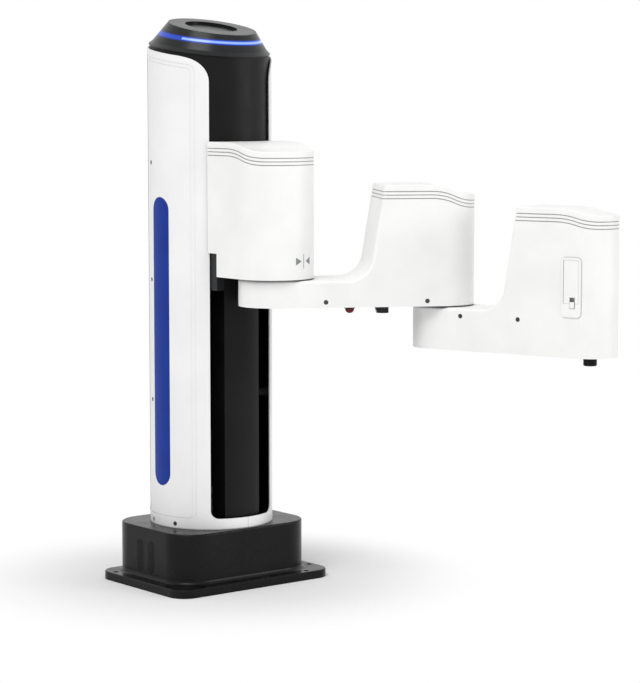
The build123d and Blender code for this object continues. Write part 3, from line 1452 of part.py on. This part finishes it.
def j2_reducer():
    """Gear unit of the elbow, standing on the upper arm's plate."""
    body = reducer(J2_REDUCER_RADIUS, J2_REDUCER_HEIGHT, J2_SPIGOT_RADIUS, UPPER_PLATE_TOP)
    return ON_UPPER * Pos(LINK_LENGTH, 0, 0) * body


def j2_motor():
    """Motor of the elbow."""
    low = UPPER_PLATE_TOP + J2_REDUCER_HEIGHT
    return ON_UPPER * Pos(LINK_LENGTH, 0, 0) * drive_motor(J2_MOTOR_RADIUS, J2_MOTOR_HEIGHT, low)


def button_collar():
    """Black collar of the release button with its barrel through the plate."""
    nose_low = UPPER_BOTTOM - COLLAR_REACH
    outline = [
        (BUTTON_RADIUS + SLIDE_FIT, nose_low),
        (COLLAR_NOSE, nose_low),
        (COLLAR_RADIUS, UPPER_BOTTOM),
        (BARREL_RADIUS, UPPER_BOTTOM),
        (BARREL_RADIUS, UPPER_BOTTOM + BARREL_HEIGHT),
        (0, UPPER_BOTTOM + BARREL_HEIGHT),
        (0, UPPER_BOTTOM + BARREL_HEIGHT - LOOSE),
        (BUTTON_RADIUS + SLIDE_FIT, UPPER_BOTTOM + BARREL_HEIGHT - LOOSE),
    ]
    collar = revolve(Plane.XZ * make_face(Polyline(*outline, close=True)), axis=Axis.Z)
    return ON_UPPER * Pos(BUTTON_AT, 0, 0) * collar


def release_button():
    """Red domed button, pushed upwards."""
    low = UPPER_BOTTOM - BUTTON_REACH
    dome_top = low + BUTTON_DOME
    face = make_face([
        Line((0, low), (0, low + BUTTON_LENGTH)),
        Line((0, low + BUTTON_LENGTH), (BUTTON_RADIUS, low + BUTTON_LENGTH)),
        Line((BUTTON_RADIUS, low + BUTTON_LENGTH), (BUTTON_RADIUS, dome_top)),
        TangentArc((0, low), (BUTTON_RADIUS, dome_top), tangent=(1, 0)),
    ])
    button = revolve(Plane.XZ * face, axis=Axis.Z)
    return ON_UPPER * Pos(BUTTON_AT, 0, 0) * button


def tool_connector():
    """Black socket under the upper arm for the tool's wiring, with a slanted key."""
    low = UPPER_BOTTOM - CONNECTOR_REACH
    body = bar(CONNECTOR_RADIUS, low, UPPER_BOTTOM + CONNECTOR_HEIGHT - CONNECTOR_REACH)
    key = make_face(Polyline(
        (0, low), (-CONNECTOR_RADIUS, low), (-CONNECTOR_KEY, UPPER_BOTTOM), (0, UPPER_BOTTOM),
        close=True,
    ))
    body += across(key, CONNECTOR_KEY_HALF)
    body -= bar(CONNECTOR_BORE, low, low + CONNECTOR_BORE_DEPTH)
    return ON_UPPER * Pos(CONNECTOR_AT, 0, 0) * body


def forearm_screw_places():
    """Side screws of the forearm."""
    height = FOREARM_TOP - FOREARM_SCREW_DROP
    stations = (FOREARM_SCREW_START, LINK_LENGTH - FOREARM_SCREW_BACK)
    return side_screw_spots(FOREARM_HALF, stations, height, COVER_WALL + SLIDE_FIT)


def forearm_cover():
    """White cover of the forearm and wrist, with holes for the elbow hub and the hatch."""
    body = arm_cover(FOREARM)
    body -= bar(J2_HUB_RADIUS + LOOSE, FRAME_TOP, FOREARM_TOP + LOOSE)
    body -= [head_hole(place, 2 * COVER_WALL) for place in forearm_screw_places()]
    body -= hatch_bar(HATCH_WALL - SEAT_GAP, 0, 2 * FOREARM_HALF)
    return ON_FOREARM * body


def forearm_frame():
    """Frame inside the forearm with the tower that holds the tool shaft's bearings."""
    outline = arm_outline(FOREARM_HALF - COVER_WALL - SLIDE_FIT)
    body = prism(outline, FRAME_LOW, FRAME_TOP)
    outer = TOOL_BEARING_RADIUS + TOWER_WALL
    body += bar(outer, TOWER_LOW, FRAME_TOP, LINK_LENGTH)
    body -= bar(TOOL_BEARING_RADIUS + RUN_FIT, TOWER_LOW, FRAME_TOP, LINK_LENGTH)
    return ON_FOREARM * (body - [screw_hole(place) for place in forearm_screw_places()])


def forearm_bottom_cover():
    """Flat cover that closes the forearm from below, with a hole for the tool shaft."""
    outline = arm_outline(FOREARM_HALF - COVER_WALL - SEAT_GAP)
    body = prism(outline, FOREARM_BOTTOM, FOREARM_BOTTOM + BOTTOM_COVER)
    hole = bar(SHAFT_RADIUS + LOOSE, FOREARM_BOTTOM, FOREARM_BOTTOM + BOTTOM_COVER, LINK_LENGTH)
    return ON_FOREARM * (body - hole)


def forearm_screws():
    """Four side screws of the forearm."""
    return [ON_FOREARM * cap_screw(place) for place in forearm_screw_places()]


def j2_hub():
    """Hub that hangs the forearm from the elbow."""
    return ON_FOREARM * turning_hub(J2_HUB_RADIUS, J2_SPIGOT_RADIUS, FRAME_TOP, UPPER_PLATE_TOP)


def j4_motor():
    """Hollow motor that turns the tool shaft."""
    body = drive_motor(J4_MOTOR_RADIUS, J4_MOTOR_HEIGHT, FRAME_TOP)
    bore_top = FRAME_TOP + J4_MOTOR_HEIGHT - TOOL_TOP_GAP
    return ON_TOOL * (body - bar(SHAFT_RADIUS + RUN_FIT, FRAME_TOP, bore_top))


def tool_bearings():
    """Two bearings in the tower."""
    outer = TOOL_BEARING_RADIUS
    inner = SHAFT_RADIUS + RUN_FIT
    lows = (TOWER_LOW + LOOSE, FRAME_TOP - TOOL_BEARING_HEIGHT - LOOSE)
    return [ON_TOOL * tube(outer, inner, low, low + TOOL_BEARING_HEIGHT) for low in lows]


def tool_shaft():
    """Tool shaft: a round end for the tool, a shoulder, and a collar above the lower bearing."""
    high = FRAME_TOP + J4_MOTOR_HEIGHT - 2 * TOOL_TOP_GAP
    shoulder = FOREARM_BOTTOM - SHAFT_SHOULDER
    shaft = bar(TOOL_RADIUS, TOOL_LOW, shoulder)
    shaft = chamfer(shaft.faces().sort_by(Axis.Z)[0].edges(), TOOL_EDGE)
    shaft += bar(SHAFT_RADIUS, shoulder, high)
    collar_low = TOWER_LOW + LOOSE + TOOL_BEARING_HEIGHT + SLIDE_FIT
    return ON_TOOL * (shaft + bar(TOOL_COLLAR, collar_low, collar_low + TOOL_COLLAR_HEIGHT))


# Service hatch

def hatch_bar(inset, near, far, low=HATCH_LOW, high=HATCH_HIGH):
    """The hatch's rounded outline, drawn in by the inset, between two distances out."""
    width = HATCH_END - HATCH_START - 2 * inset
    height = high - low - 2 * inset
    outline = RectangleRounded(width, height, max(HATCH_CORNER - inset, SEAT_GAP))
    plane = Plane(
        origin=((HATCH_START + HATCH_END) / 2, -near, (low + high) / 2),
        x_dir=(1, 0, 0),
        z_dir=(0, -1, 0),
    )
    return extrude(plane * outline, far - near)


def hatch_slab(start, end, low, high, near, far):
    """A small block on the side of the wrist, given by its distances out."""
    return block((start, end), (-far, -near), (low, high))


def service_bezel():
    """Raised frame with a shallow well behind the door and a fixed panel below it."""
    body = hatch_bar(0, FOREARM_HALF, HATCH_FACE)
    body += hatch_bar(HATCH_WALL, FOREARM_HALF - HATCH_DEPTH, FOREARM_HALF)
    well = hatch_bar(HATCH_FRAME, FOREARM_HALF - HATCH_DEPTH + HATCH_WALL, DOOR_BACK)
    seat = hatch_slab(
        HATCH_START + HATCH_FRAME, HATCH_END - HATCH_FRAME,
        DOOR_LOW - SEAT_GAP, HATCH_HIGH - HATCH_FRAME,
        DOOR_BACK - SEAT_GAP, HATCH_FACE + LOOSE,
    )
    slot = hatch_slab(
        THUMB_START - THUMB_GAP, THUMB_END + THUMB_GAP,
        THUMB_LOW - THUMB_GAP, DOOR_LOW,
        DOOR_BACK - LOOSE, HATCH_FACE + LOOSE,
    )
    x, y = hinge_place()
    high = HATCH_HIGH - HATCH_FRAME
    pins = bar(
        DOOR_PIN + RUN_FIT, DOOR_LOW - SEAT_GAP - DOOR_PIN_LENGTH, high + DOOR_PIN_LENGTH, x, y
    )
    return ON_FOREARM * (body - well - seat - slot - pins)


def hinge_place():
    """Where the door's upright hinge line stands."""
    return (
        HATCH_START + HATCH_FRAME + SEAT_GAP + DOOR_THICKNESS / 2,
        -(HATCH_FACE - DOOR_THICKNESS / 2),
    )


def service_door():
    """Flat door with a rounded hinge edge, two pins and a notch for the latch."""
    x, y = hinge_place()
    low = DOOR_LOW
    high = HATCH_HIGH - HATCH_FRAME - SEAT_GAP
    body = hatch_slab(x, HATCH_END - HATCH_FRAME - SEAT_GAP, low, high, DOOR_BACK, HATCH_FACE)
    body += bar(DOOR_THICKNESS / 2, low, high, x, y)
    body += bar(DOOR_PIN, low - DOOR_PIN_LENGTH, high + DOOR_PIN_LENGTH, x, y)
    notch = hatch_slab(
        THUMB_START - THUMB_GAP, THUMB_END + THUMB_GAP,
        low - LOOSE, THUMB_HIGH + THUMB_TRAVEL + THUMB_GAP,
        DOOR_BACK - LOOSE, HATCH_FACE + LOOSE,
    )
    return ON_FOREARM * (body - notch)


def door_latch():
    """Thumb slide in the fixed panel that runs up into the door's notch."""
    thumb = hatch_slab(
        THUMB_START, THUMB_END, THUMB_LOW, THUMB_HIGH, DOOR_BACK - SLIDE_FIT,
        HATCH_FACE + THUMB_PROUD,
    )
    flange_high = DOOR_LOW - THUMB_TRAVEL - LOOSE / 2
    flange = hatch_slab(
        THUMB_START - LATCH_FLANGE, THUMB_END + LATCH_FLANGE,
        THUMB_LOW - LATCH_FLANGE, flange_high,
        DOOR_BACK - SLIDE_FIT - LATCH_FLANGE_THICKNESS, DOOR_BACK - SLIDE_FIT,
    )
    return ON_FOREARM * (thumb + flange)


PARTS = {
    "base_casting": base_casting,
    "base_under_cover": base_under_cover,
    "base_screws": base_screws,
    "control_board": control_board,
    "rear_panel": rear_panel,
    "power_inlet": power_inlet,
    "power_switch": power_switch,
    "network_jacks": network_jacks,
    "terminal_block": terminal_block,
    "fan_frame": fan_frame,
    "fan_rotor": fan_rotor,
    "column_motor": column_motor,
    "column_foot_ring": column_foot_ring,
    "column_shell_right": column_shell,
    "side_stripe_right": side_stripe,
    "shell_brackets": shell_brackets,
    "column_screws": column_screws,
    "front_cover": front_cover,
    "upper_cover": upper_cover,
    "top_plate": top_plate,
    "top_cap": top_cap,
    "light_band": light_band,
    "mast": mast,
    "linear_rails": linear_rails,
    "ball_screw": ball_screw,
    "screw_coupling": screw_coupling,
    "carriage_bracket": carriage_bracket,
    "rail_blocks": rail_blocks,
    "screw_nut": screw_nut,
    "shoulder_housing": shoulder_housing,
    "shoulder_casting": shoulder_casting,
    "j1_reducer": j1_reducer,
    "j1_motor": j1_motor,
    "upper_arm_cover": upper_arm_cover,
    "upper_arm_plate": upper_arm_plate,
    "upper_arm_screws": upper_arm_screws,
    "j1_hub": j1_hub,
    "j2_reducer": j2_reducer,
    "j2_motor": j2_motor,
    "button_collar": button_collar,
    "release_button": release_button,
    "tool_connector": tool_connector,
    "forearm_cover": forearm_cover,
    "forearm_frame": forearm_frame,
    "forearm_bottom_cover": forearm_bottom_cover,
    "forearm_screws": forearm_screws,
    "j2_hub": j2_hub,
    "j4_motor": j4_motor,
    "tool_bearings": tool_bearings,
    "tool_shaft": tool_shaft,
    "service_bezel": service_bezel,
    "service_door": service_door,
    "door_latch": door_latch,
}


def save(node, made):
    """Write one sub-part, whose pieces may come alone, in a list or in lists of lists."""
    pieces = made if isinstance(made, list) else [made]
    solids = []
    for piece in pieces:
        group = piece if isinstance(piece, list) else [piece]
        for shape in group:
            solids += shape.solids()
    export_step(Compound(solids), f"parts/{node}.step")
    return Compound(solids)


def main():
    os.makedirs("parts", exist_ok=True)
    save("screw_bearing_lower", screw_bearing(BEARING_LOW))
    save("screw_bearing_upper", screw_bearing(BEARING_HIGH))
    for node, make in PARTS.items():
        shape = save(node, make())
        if node in ("column_shell_right", "side_stripe_right"):
            save(node.replace("right", "left"), mirror(shape, about=Plane.XZ))


main()
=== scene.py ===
import json
import math

import bmesh
import bpy
from mathutils import Matrix, Vector


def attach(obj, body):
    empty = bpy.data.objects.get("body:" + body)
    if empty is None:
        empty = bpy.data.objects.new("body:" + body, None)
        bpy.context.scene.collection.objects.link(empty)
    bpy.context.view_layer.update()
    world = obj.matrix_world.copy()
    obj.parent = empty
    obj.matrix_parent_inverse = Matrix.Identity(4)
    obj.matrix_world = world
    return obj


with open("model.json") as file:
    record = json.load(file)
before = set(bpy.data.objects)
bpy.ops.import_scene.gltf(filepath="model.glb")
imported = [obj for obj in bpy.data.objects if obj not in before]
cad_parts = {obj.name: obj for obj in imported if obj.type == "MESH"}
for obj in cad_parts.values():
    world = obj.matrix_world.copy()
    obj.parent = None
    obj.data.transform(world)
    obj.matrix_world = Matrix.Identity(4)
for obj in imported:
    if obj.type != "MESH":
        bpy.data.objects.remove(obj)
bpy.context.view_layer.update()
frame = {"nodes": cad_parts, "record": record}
nodes = frame["nodes"]

# Places and sizes in metres, taken from the solids.
COLUMN_X = -0.008
SHELL_OUTSIDE = 0.0733
J1_X = 0.1173
SHOULDER_RADIUS = 0.048
RIM_SLOPE = 0.15
RIM_HEIGHT = 0.645
BAND_ABOVE_RIM = 0.0162

# Zero mark on the shoulder's nose: place, and half width and height of each figure.
MARK_HEIGHT = 0.3986
MARK_ANGLE = math.radians(10.5)
MARK_STEP = math.radians(9.5)
MARK_THICKNESS = 0.0004
MARK_RISE = 0.0001
MARK_LINE = (0.0004, 0.0168)
MARK_TRIANGLE = (0.0039, 0.0090)
TIP_SHARE = 0.04

# Light, and how far from the middle the floor's shadow reaches before it fades to white.
SURROUND = 0.62
SHADOW_FULL = 0.15
SHADOW_GONE = 0.34
FLOOR_HALF = 6.0


# Node helpers

def linear(code):
    """An sRGB hex colour as the linear colour that a shader takes."""
    parts = [int(code[i:i + 2], 16) / 255 for i in (1, 3, 5)]
    return (*[c / 12.92 if c <= 0.04045 else ((c + 0.055) / 1.055) ** 2.4 for c in parts], 1.0)


def add(tree, kind, settings=None, links=None):
    """Adds one node with its settings and its incoming links."""
    node = tree.nodes.new("ShaderNode" + kind)
    for name, value in (settings or {}).items():
        if isinstance(name, int) or name in node.inputs:
            node.inputs[name].default_value = value
        else:
            setattr(node, name, value)
    for name, source in (links or {}).items():
        tree.links.new(source, node.inputs[name])
    return node


def material(name, **shader):
    """A material with its shader set on the shader's own sockets; returns it and its tree."""
    made = bpy.data.materials.new(name)
    made.use_nodes = True
    tree = made.node_tree
    tree.nodes.clear()
    surface = add(tree, "BsdfPrincipled", {k.replace("_", " "): v for k, v in shader.items()})
    add(tree, "OutputMaterial", links={"Surface": surface.outputs[0]})
    return made, tree, surface


def grain(tree, size_mm, stretch=(1, 1, 1), detail=2.0, turn=0.0):
    """Noise whose grains are about as wide as the given size, on object coordinates."""
    place = add(tree, "TexCoord").outputs["Object"]
    mapped = add(tree, "Mapping", {"Scale": stretch, "Rotation": (0, 0, turn)}, {"Vector": place})
    settings = {"Scale": 1000.0 / size_mm, "Detail": detail}
    return add(tree, "TexNoise", settings, {"Vector": mapped.outputs[0]}).outputs["Fac"]


def tint(tree, surface, fac, low, high, start=0.35, end=0.65):
    """Colour that wanders between two close tones with a pattern."""
    ramp = add(tree, "ValToRGB", links={"Fac": fac})
    ramp.color_ramp.elements[0].position = start
    ramp.color_ramp.elements[0].color = linear(low)
    ramp.color_ramp.elements[1].position = end
    ramp.color_ramp.elements[1].color = linear(high)
    tree.links.new(ramp.outputs[0], surface.inputs["Base Color"])
    return ramp.outputs[0]


def relief(tree, surface, fac, strength, depth_mm):
    """Fine surface relief from a pattern."""
    settings = {"Strength": strength, "Distance": depth_mm / 1000.0}
    bump = add(tree, "Bump", settings, {"Height": fac})
    tree.links.new(bump.outputs[0], surface.inputs["Normal"])


def crease_shade(tree, surface, colour, shade, reach_mm):
    """Painted shade: darkens a colour in grooves and seams no deeper than the reach, where shade
    falls.
    """
    settings = {"samples": 8, "Distance": reach_mm / 1000.0}
    open_sky = add(tree, "AmbientOcclusion", settings)
    span = add(
        tree, "MapRange", {"From Min": 0.35, "From Max": 0.85}, {"Value": open_sky.outputs["AO"]}
    )
    mixed = add(tree, "Mix", {"data_type": "RGBA"}, {"Factor": span.outputs[0]})
    mixed.inputs[6].default_value = linear(shade)
    tree.links.new(colour, mixed.inputs[7])
    tree.links.new(mixed.outputs[2], surface.inputs["Base Color"])


def above_rim(tree, height):
    """Distance of a point from a level above the leaning rim, in metres."""
    axes = add(tree, "SeparateXYZ", links={"Vector": add(tree, "TexCoord").outputs["Object"]})
    lean = add(
        tree, "Math", {"operation": "MULTIPLY_ADD", 1: RIM_SLOPE},
        {0: axes.outputs["X"], 2: axes.outputs["Z"]},
    )
    middle = RIM_HEIGHT + RIM_SLOPE * COLUMN_X + height
    away = add(tree, "Math", {"operation": "SUBTRACT", 1: middle}, {0: lean.outputs[0]})
    return add(tree, "Math", {"operation": "ABSOLUTE"}, {0: away.outputs[0]}).outputs[0]


def gloss_range(tree, surface, fac, low, high):
    """Roughness that varies a little with a pattern."""
    settings = {"From Min": 0.3, "From Max": 0.7, "To Min": low, "To Max": high}
    spread = add(tree, "MapRange", settings, {"Value": fac})
    tree.links.new(spread.outputs[0], surface.inputs["Roughness"])


# Materials

def white_abs(name, low, high):
    # Injection moulded ABS: satin white, with the faint spark-eroded grain of the mould
    made, tree, surface = material(name, IOR=1.53, Roughness=0.42)
    colour = tint(tree, surface, grain(tree, 60, detail=3.0), low, high)
    # Painted shade: the grooves and seams are darkened towards mid grey #8c8c8c.
    crease_shade(tree, surface, colour, "#8c8c8c", 5.0)
    relief(tree, surface, grain(tree, 0.9), 0.05, 0.05)
    gloss_range(tree, surface, grain(tree, 25), 0.38, 0.46)
    return made


def column_abs():
    # Vacuum formed ABS half shell: white outside, with painted shade inside: the inner faces,
    # which lie in shade within the column, are painted near black
    made, tree, surface = material("ABS_shell_white_painted_shade_inside", IOR=1.53, Roughness=0.42)
    outside = tint(tree, surface, grain(tree, 80, detail=3.0), "#ececec", "#f2f2f2")
    # Painted shade: every point nearer the column's axis than the shell's outside, meaning the
    # inner faces, takes near black #0c0c0c.
    place = add(tree, "TexCoord").outputs["Object"]
    from_axis = add(
        tree, "VectorMath", {"operation": "SUBTRACT", 1: (COLUMN_X, 0, 0)}, {0: place}
    )
    flat = add(
        tree, "VectorMath", {"operation": "MULTIPLY", 1: (1, 1, 0)}, {0: from_axis.outputs[0]}
    )
    reach = add(tree, "VectorMath", {"operation": "LENGTH"}, {0: flat.outputs[0]})
    painted_shade_inside = add(
        tree, "Math", {"operation": "LESS_THAN", 1: SHELL_OUTSIDE}, {0: reach.outputs["Value"]}
    )
    mixed = add(
        tree, "Mix", {"data_type": "RGBA"}, {"Factor": painted_shade_inside.outputs[0]}
    )
    tree.links.new(outside, mixed.inputs[6])
    mixed.inputs[7].default_value = linear("#0c0c0c")
    # Painted shade: the grooves and seams are darkened towards near black.
    crease_shade(tree, surface, mixed.outputs[2], "#0c0c0c", 2.5)
    relief(tree, surface, grain(tree, 0.9), 0.05, 0.05)
    gloss_range(tree, surface, grain(tree, 25), 0.38, 0.46)
    return made


def cast_black():
    # Die-cast aluminium with a semi-gloss black stoved coat: slight orange peel
    made, tree, surface = material(
        "die_cast_black_stoved", IOR=1.5, Specular_IOR_Level=0.16, Roughness=0.28
    )
    tint(tree, surface, grain(tree, 45, detail=3.0), "#0b0b0b", "#111111")
    relief(tree, surface, grain(tree, 2.2), 0.10, 0.12)
    gloss_range(tree, surface, grain(tree, 30), 0.24, 0.32)
    return made


def plain_black(name, low, high, rough, grain_mm, strength, level=0.3):
    # Moulded black cover with a fine matt grain
    made, tree, surface = material(name, IOR=1.5, Specular_IOR_Level=level, Roughness=rough)
    tint(tree, surface, grain(tree, 40, detail=3.0), low, high)
    relief(tree, surface, grain(tree, grain_mm), strength, 0.08)
    gloss_range(tree, surface, grain(tree, 20), rough - 0.04, rough + 0.04)
    return made


def brushed(name, low, high, rough, stretch, metallic=1.0):
    # Machined metal: fine lines along the cut
    made, tree, surface = material(name, Metallic=metallic, Roughness=rough)
    lines = grain(tree, 1.0, stretch=stretch, detail=3.0)
    tint(tree, surface, lines, low, high)
    relief(tree, surface, lines, 0.15, 0.03)
    gloss_range(tree, surface, lines, rough - 0.06, rough + 0.06)
    return made


def light_guide():
    # Clear PMMA light guide, lit blue from behind: pale core and deep blue edges
    made, tree, surface = material(
        "PMMA_light_guide_blue", IOR=1.49, Roughness=0.2, Emission_Strength=1.0
    )
    away = above_rim(tree, BAND_ABOVE_RIM)
    spread = add(tree, "MapRange", {"From Min": 0.0004, "From Max": 0.0017}, {"Value": away})
    ramp = add(tree, "ValToRGB", links={"Fac": spread.outputs[0]})
    ramp.color_ramp.elements[0].color = linear("#9fbcff")
    ramp.color_ramp.elements[1].color = linear("#2a5af0")
    tree.links.new(ramp.outputs[0], surface.inputs["Emission Color"])
    tint(tree, surface, grain(tree, 6), "#16305c", "#1d3a6a")
    return made


def cap_graphite():
    # Satin graphite ABS with a painted glow: blue light spill from the light band, set as
    # emission at the band's height.
    # The spill depends on the height above the rim alone, so it runs round the whole cone, also
    # where there is no band.
    made, tree, surface = material(
        "ABS_satin_graphite", IOR=1.5, Specular_IOR_Level=0.25, Roughness=0.3,
        Emission_Strength=1.0,
    )
    tint(tree, surface, grain(tree, 40, detail=3.0), "#111213", "#18191b")
    relief(tree, surface, grain(tree, 0.8), 0.05, 0.08)
    gloss_range(tree, surface, grain(tree, 20), 0.27, 0.33)
    # Painted light: a blue glow of spill from the light band, set as emission on the cone near
    # the band's height.
    away = above_rim(tree, BAND_ABOVE_RIM)
    spread = add(tree, "MapRange", {"From Min": 0.0014, "From Max": 0.0034}, {"Value": away})
    ramp = add(tree, "ValToRGB", links={"Fac": spread.outputs[0]})
    ramp.color_ramp.elements[0].color = linear("#1a46c8")
    ramp.color_ramp.elements[1].color = linear("#000000")
    tree.links.new(ramp.outputs[0], surface.inputs["Emission Color"])
    return made


def circuit_board():
    # Green solder mask over glass fibre, with the copper lines just showing through
    made, tree, surface = material("FR4_green_solder_mask", IOR=1.5, Roughness=0.35)
    lines = grain(tree, 6.0, stretch=(1, 6, 1), detail=1.0)
    tint(tree, surface, lines, "#0f4a2a", "#1c6b3d", 0.48, 0.52)
    relief(tree, surface, lines, 0.2, 0.05)
    return made


MATERIALS = {
    "white_shell": white_abs("ABS_satin_white", "#f1f1f0", "#f7f7f6"),
    "column": column_abs(),
    "cast_black": cast_black(),
    "black_cover": plain_black("ABS_matt_black", "#0a0a0a", "#0f0f0f", 0.45, 0.8, 0.1, 0.16),
    "black_gloss": plain_black("PA66_gloss_black", "#080808", "#0d0d0d", 0.25, 1.2, 0.04),
    "cap_grey": cap_graphite(),
    "light_guide": light_guide(),
    "stripe_blue": plain_black("PC_film_satin_blue", "#0c2f8c", "#103594", 0.4, 0.8, 0.05, 0.15),
    "aluminium": brushed("aluminium_milled", "#b4b6b8", "#c8cacb", 0.38, (0.05, 1, 1)),
    "steel": brushed("bearing_steel_ground", "#8e9092", "#a3a5a7", 0.3, (1, 1, 0.05)),
    "screw_steel": brushed("steel_black_oxide", "#4a4a4b", "#5c5c5e", 0.38, (1, 1, 1)),
    "motor_black": plain_black("steel_case_black_enamel", "#141517", "#1b1c1e", 0.4, 1.6, 0.1),
    "board_green": circuit_board(),
    "button_red": plain_black("PMMA_glossy_red", "#6a0f10", "#7a1415", 0.2, 1.5, 0.02),
    "jack_metal": brushed("tin_plated_steel", "#a8a8a6", "#bcbcba", 0.3, (1, 0.05, 1)),
    "shaft_black": brushed("shaft_blackened_ground", "#1a1a1b", "#262627", 0.22, (1, 1, 0.1)),
    "mark_grey": plain_black("screen_print_grey", "#808386", "#8a8d90", 0.5, 0.6, 0.05),
}
BY_NODE = {"column_shell_right": "column", "column_shell_left": "column"}
for part in frame["record"]["subparts"]:
    node = nodes[part["node"]]
    finish = BY_NODE.get(part["node"], part["material_slot"])
    node.data.materials.clear()
    node.data.materials.append(MATERIALS[finish])


# Pieces

def piece(name, mesh, body, finish):
    """Turns a bmesh into a piece that rides on a body."""
    bmesh.ops.recalc_face_normals(mesh, faces=mesh.faces)
    data = bpy.data.meshes.new(name)
    mesh.to_mesh(data)
    mesh.free()
    made = bpy.data.objects.new(name, data)
    bpy.context.scene.collection.objects.link(made)
    data.materials.append(MATERIALS[finish])
    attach(made, body)
    return made


def zero_mark():
    """Printed zero mark on the shoulder's nose: two triangles that point at an upright line."""
    mesh = bmesh.new()
    for step, (reach, height) in ((-1, MARK_TRIANGLE), (0, MARK_LINE), (1, MARK_TRIANGLE)):
        start = bmesh.ops.create_cube(mesh, size=1.0)["verts"]
        bmesh.ops.scale(mesh, vec=(MARK_THICKNESS, 2 * reach, height), verts=start)
        if step:
            tip = [corner for corner in start if corner.co.y * step < 0]
            bmesh.ops.scale(mesh, vec=(1, 1, TIP_SHARE), verts=tip)
        turn = MARK_ANGLE + step * MARK_STEP
        place = (SHOULDER_RADIUS - MARK_THICKNESS / 2 + MARK_RISE, 0, 0)
        bmesh.ops.translate(mesh, vec=place, verts=start)
        matrix = Matrix.Translation((J1_X, 0, MARK_HEIGHT)) @ Matrix.Rotation(turn, 4, "Z")
        bmesh.ops.transform(mesh, matrix=matrix, verts=start)
    piece("zero_mark", mesh, "carriage", "mark_grey")


zero_mark()


# Stage: floor, lamps, world and camera

def background_rays(tree):
    """One for rays that see the background: from the camera, a gloss or a clear part."""
    rays = add(tree, "LightPath")
    camera_or_gloss = add(
        tree, "Math", {"operation": "MAXIMUM"},
        {0: rays.outputs["Is Camera Ray"], 1: rays.outputs["Is Glossy Ray"]},
    )
    seen = add(
        tree, "Math", {"operation": "MAXIMUM"},
        {0: camera_or_gloss.outputs[0], 1: rays.outputs["Is Transmission Ray"]},
    )
    return seen.outputs[0]


def stage_floor():
    """A wide white floor that holds the object's shadow and fades into the backdrop."""
    mesh = bmesh.new()
    bmesh.ops.create_grid(mesh, x_segments=1, y_segments=1, size=FLOOR_HALF)
    data = bpy.data.meshes.new("floor")
    mesh.to_mesh(data)
    mesh.free()
    floor = bpy.data.objects.new("floor", data)
    bpy.context.scene.collection.objects.link(floor)
    made = bpy.data.materials.new("paper_backdrop_white")
    made.use_nodes = True
    tree = made.node_tree
    tree.nodes.clear()
    paper = add(tree, "BsdfDiffuse", {"Color": linear("#f2f2f2")})
    white = add(tree, "Emission", {"Color": linear("#ffffff"), "Strength": 1.0})
    place = add(tree, "TexCoord").outputs["Object"]
    reach = add(tree, "VectorMath", {"operation": "LENGTH"}, {0: place})
    fade = {"interpolation_type": "SMOOTHSTEP", "From Min": SHADOW_FULL, "From Max": SHADOW_GONE}
    far = add(tree, "MapRange", fade, {"Value": reach.outputs["Value"]})
    share = add(
        tree, "Math", {"operation": "MULTIPLY"}, {0: background_rays(tree), 1: far.outputs[0]}
    )
    mix = add(tree, "MixShader", links={
        0: share.outputs[0], 1: paper.outputs[0], 2: white.outputs[0],
    })
    add(tree, "OutputMaterial", links={"Surface": mix.outputs[0]})
    data.materials.append(made)


def stage_world():
    """A soft even surround that looks white to the camera and in reflections."""
    world = bpy.data.worlds.new("studio")
    bpy.context.scene.world = world
    world.use_nodes = True
    tree = world.node_tree
    tree.nodes.clear()
    soft = add(tree, "Background", {"Color": linear("#ffffff"), "Strength": SURROUND})
    white = add(tree, "Background", {"Color": linear("#ffffff"), "Strength": 1.0})
    mix = add(tree, "MixShader", links={
        0: background_rays(tree), 1: soft.outputs[0], 2: white.outputs[0],
    })
    add(tree, "OutputWorld", links={"Surface": mix.outputs[0]})


def lamp(name, place, target, size, power):
    """A soft square lamp that looks at a point."""
    data = bpy.data.lights.new(name, "AREA")
    data.size = size
    data.energy = power
    made = bpy.data.objects.new(name, data)
    made.location = place
    made.rotation_mode = "QUATERNION"
    made.rotation_quaternion = (Vector(target) - Vector(place)).to_track_quat("-Z", "Y")
    bpy.context.scene.collection.objects.link(made)


def camera():
    """The camera stands level with the column's upper half and looks slightly down."""
    data = bpy.data.cameras.new("camera")
    data.sensor_width = 36.0
    data.lens = 127.31
    made = bpy.data.objects.new("camera", data)
    made.location = (2.3670, -1.7308, 0.6056)
    heading, pitch = math.radians(141.311), math.radians(6.123)
    level = math.cos(pitch)
    ahead = Vector((math.cos(heading) * level, math.sin(heading) * level, -math.sin(pitch)))
    made.rotation_mode = "QUATERNION"
    made.rotation_quaternion = ahead.to_track_quat("-Z", "Y")
    bpy.context.scene.collection.objects.link(made)
    bpy.context.scene.camera = made


stage_floor()
stage_world()
lamp("key", (1.0, -1.6, 2.6), (0.05, 0.0, 0.35), 1.6, 40)
lamp("fill", (2.4, 1.75, 0.9), (0.0, 0.0, 0.45), 0.9, 16)
camera()
bpy.context.scene.view_settings.view_transform = "Standard"
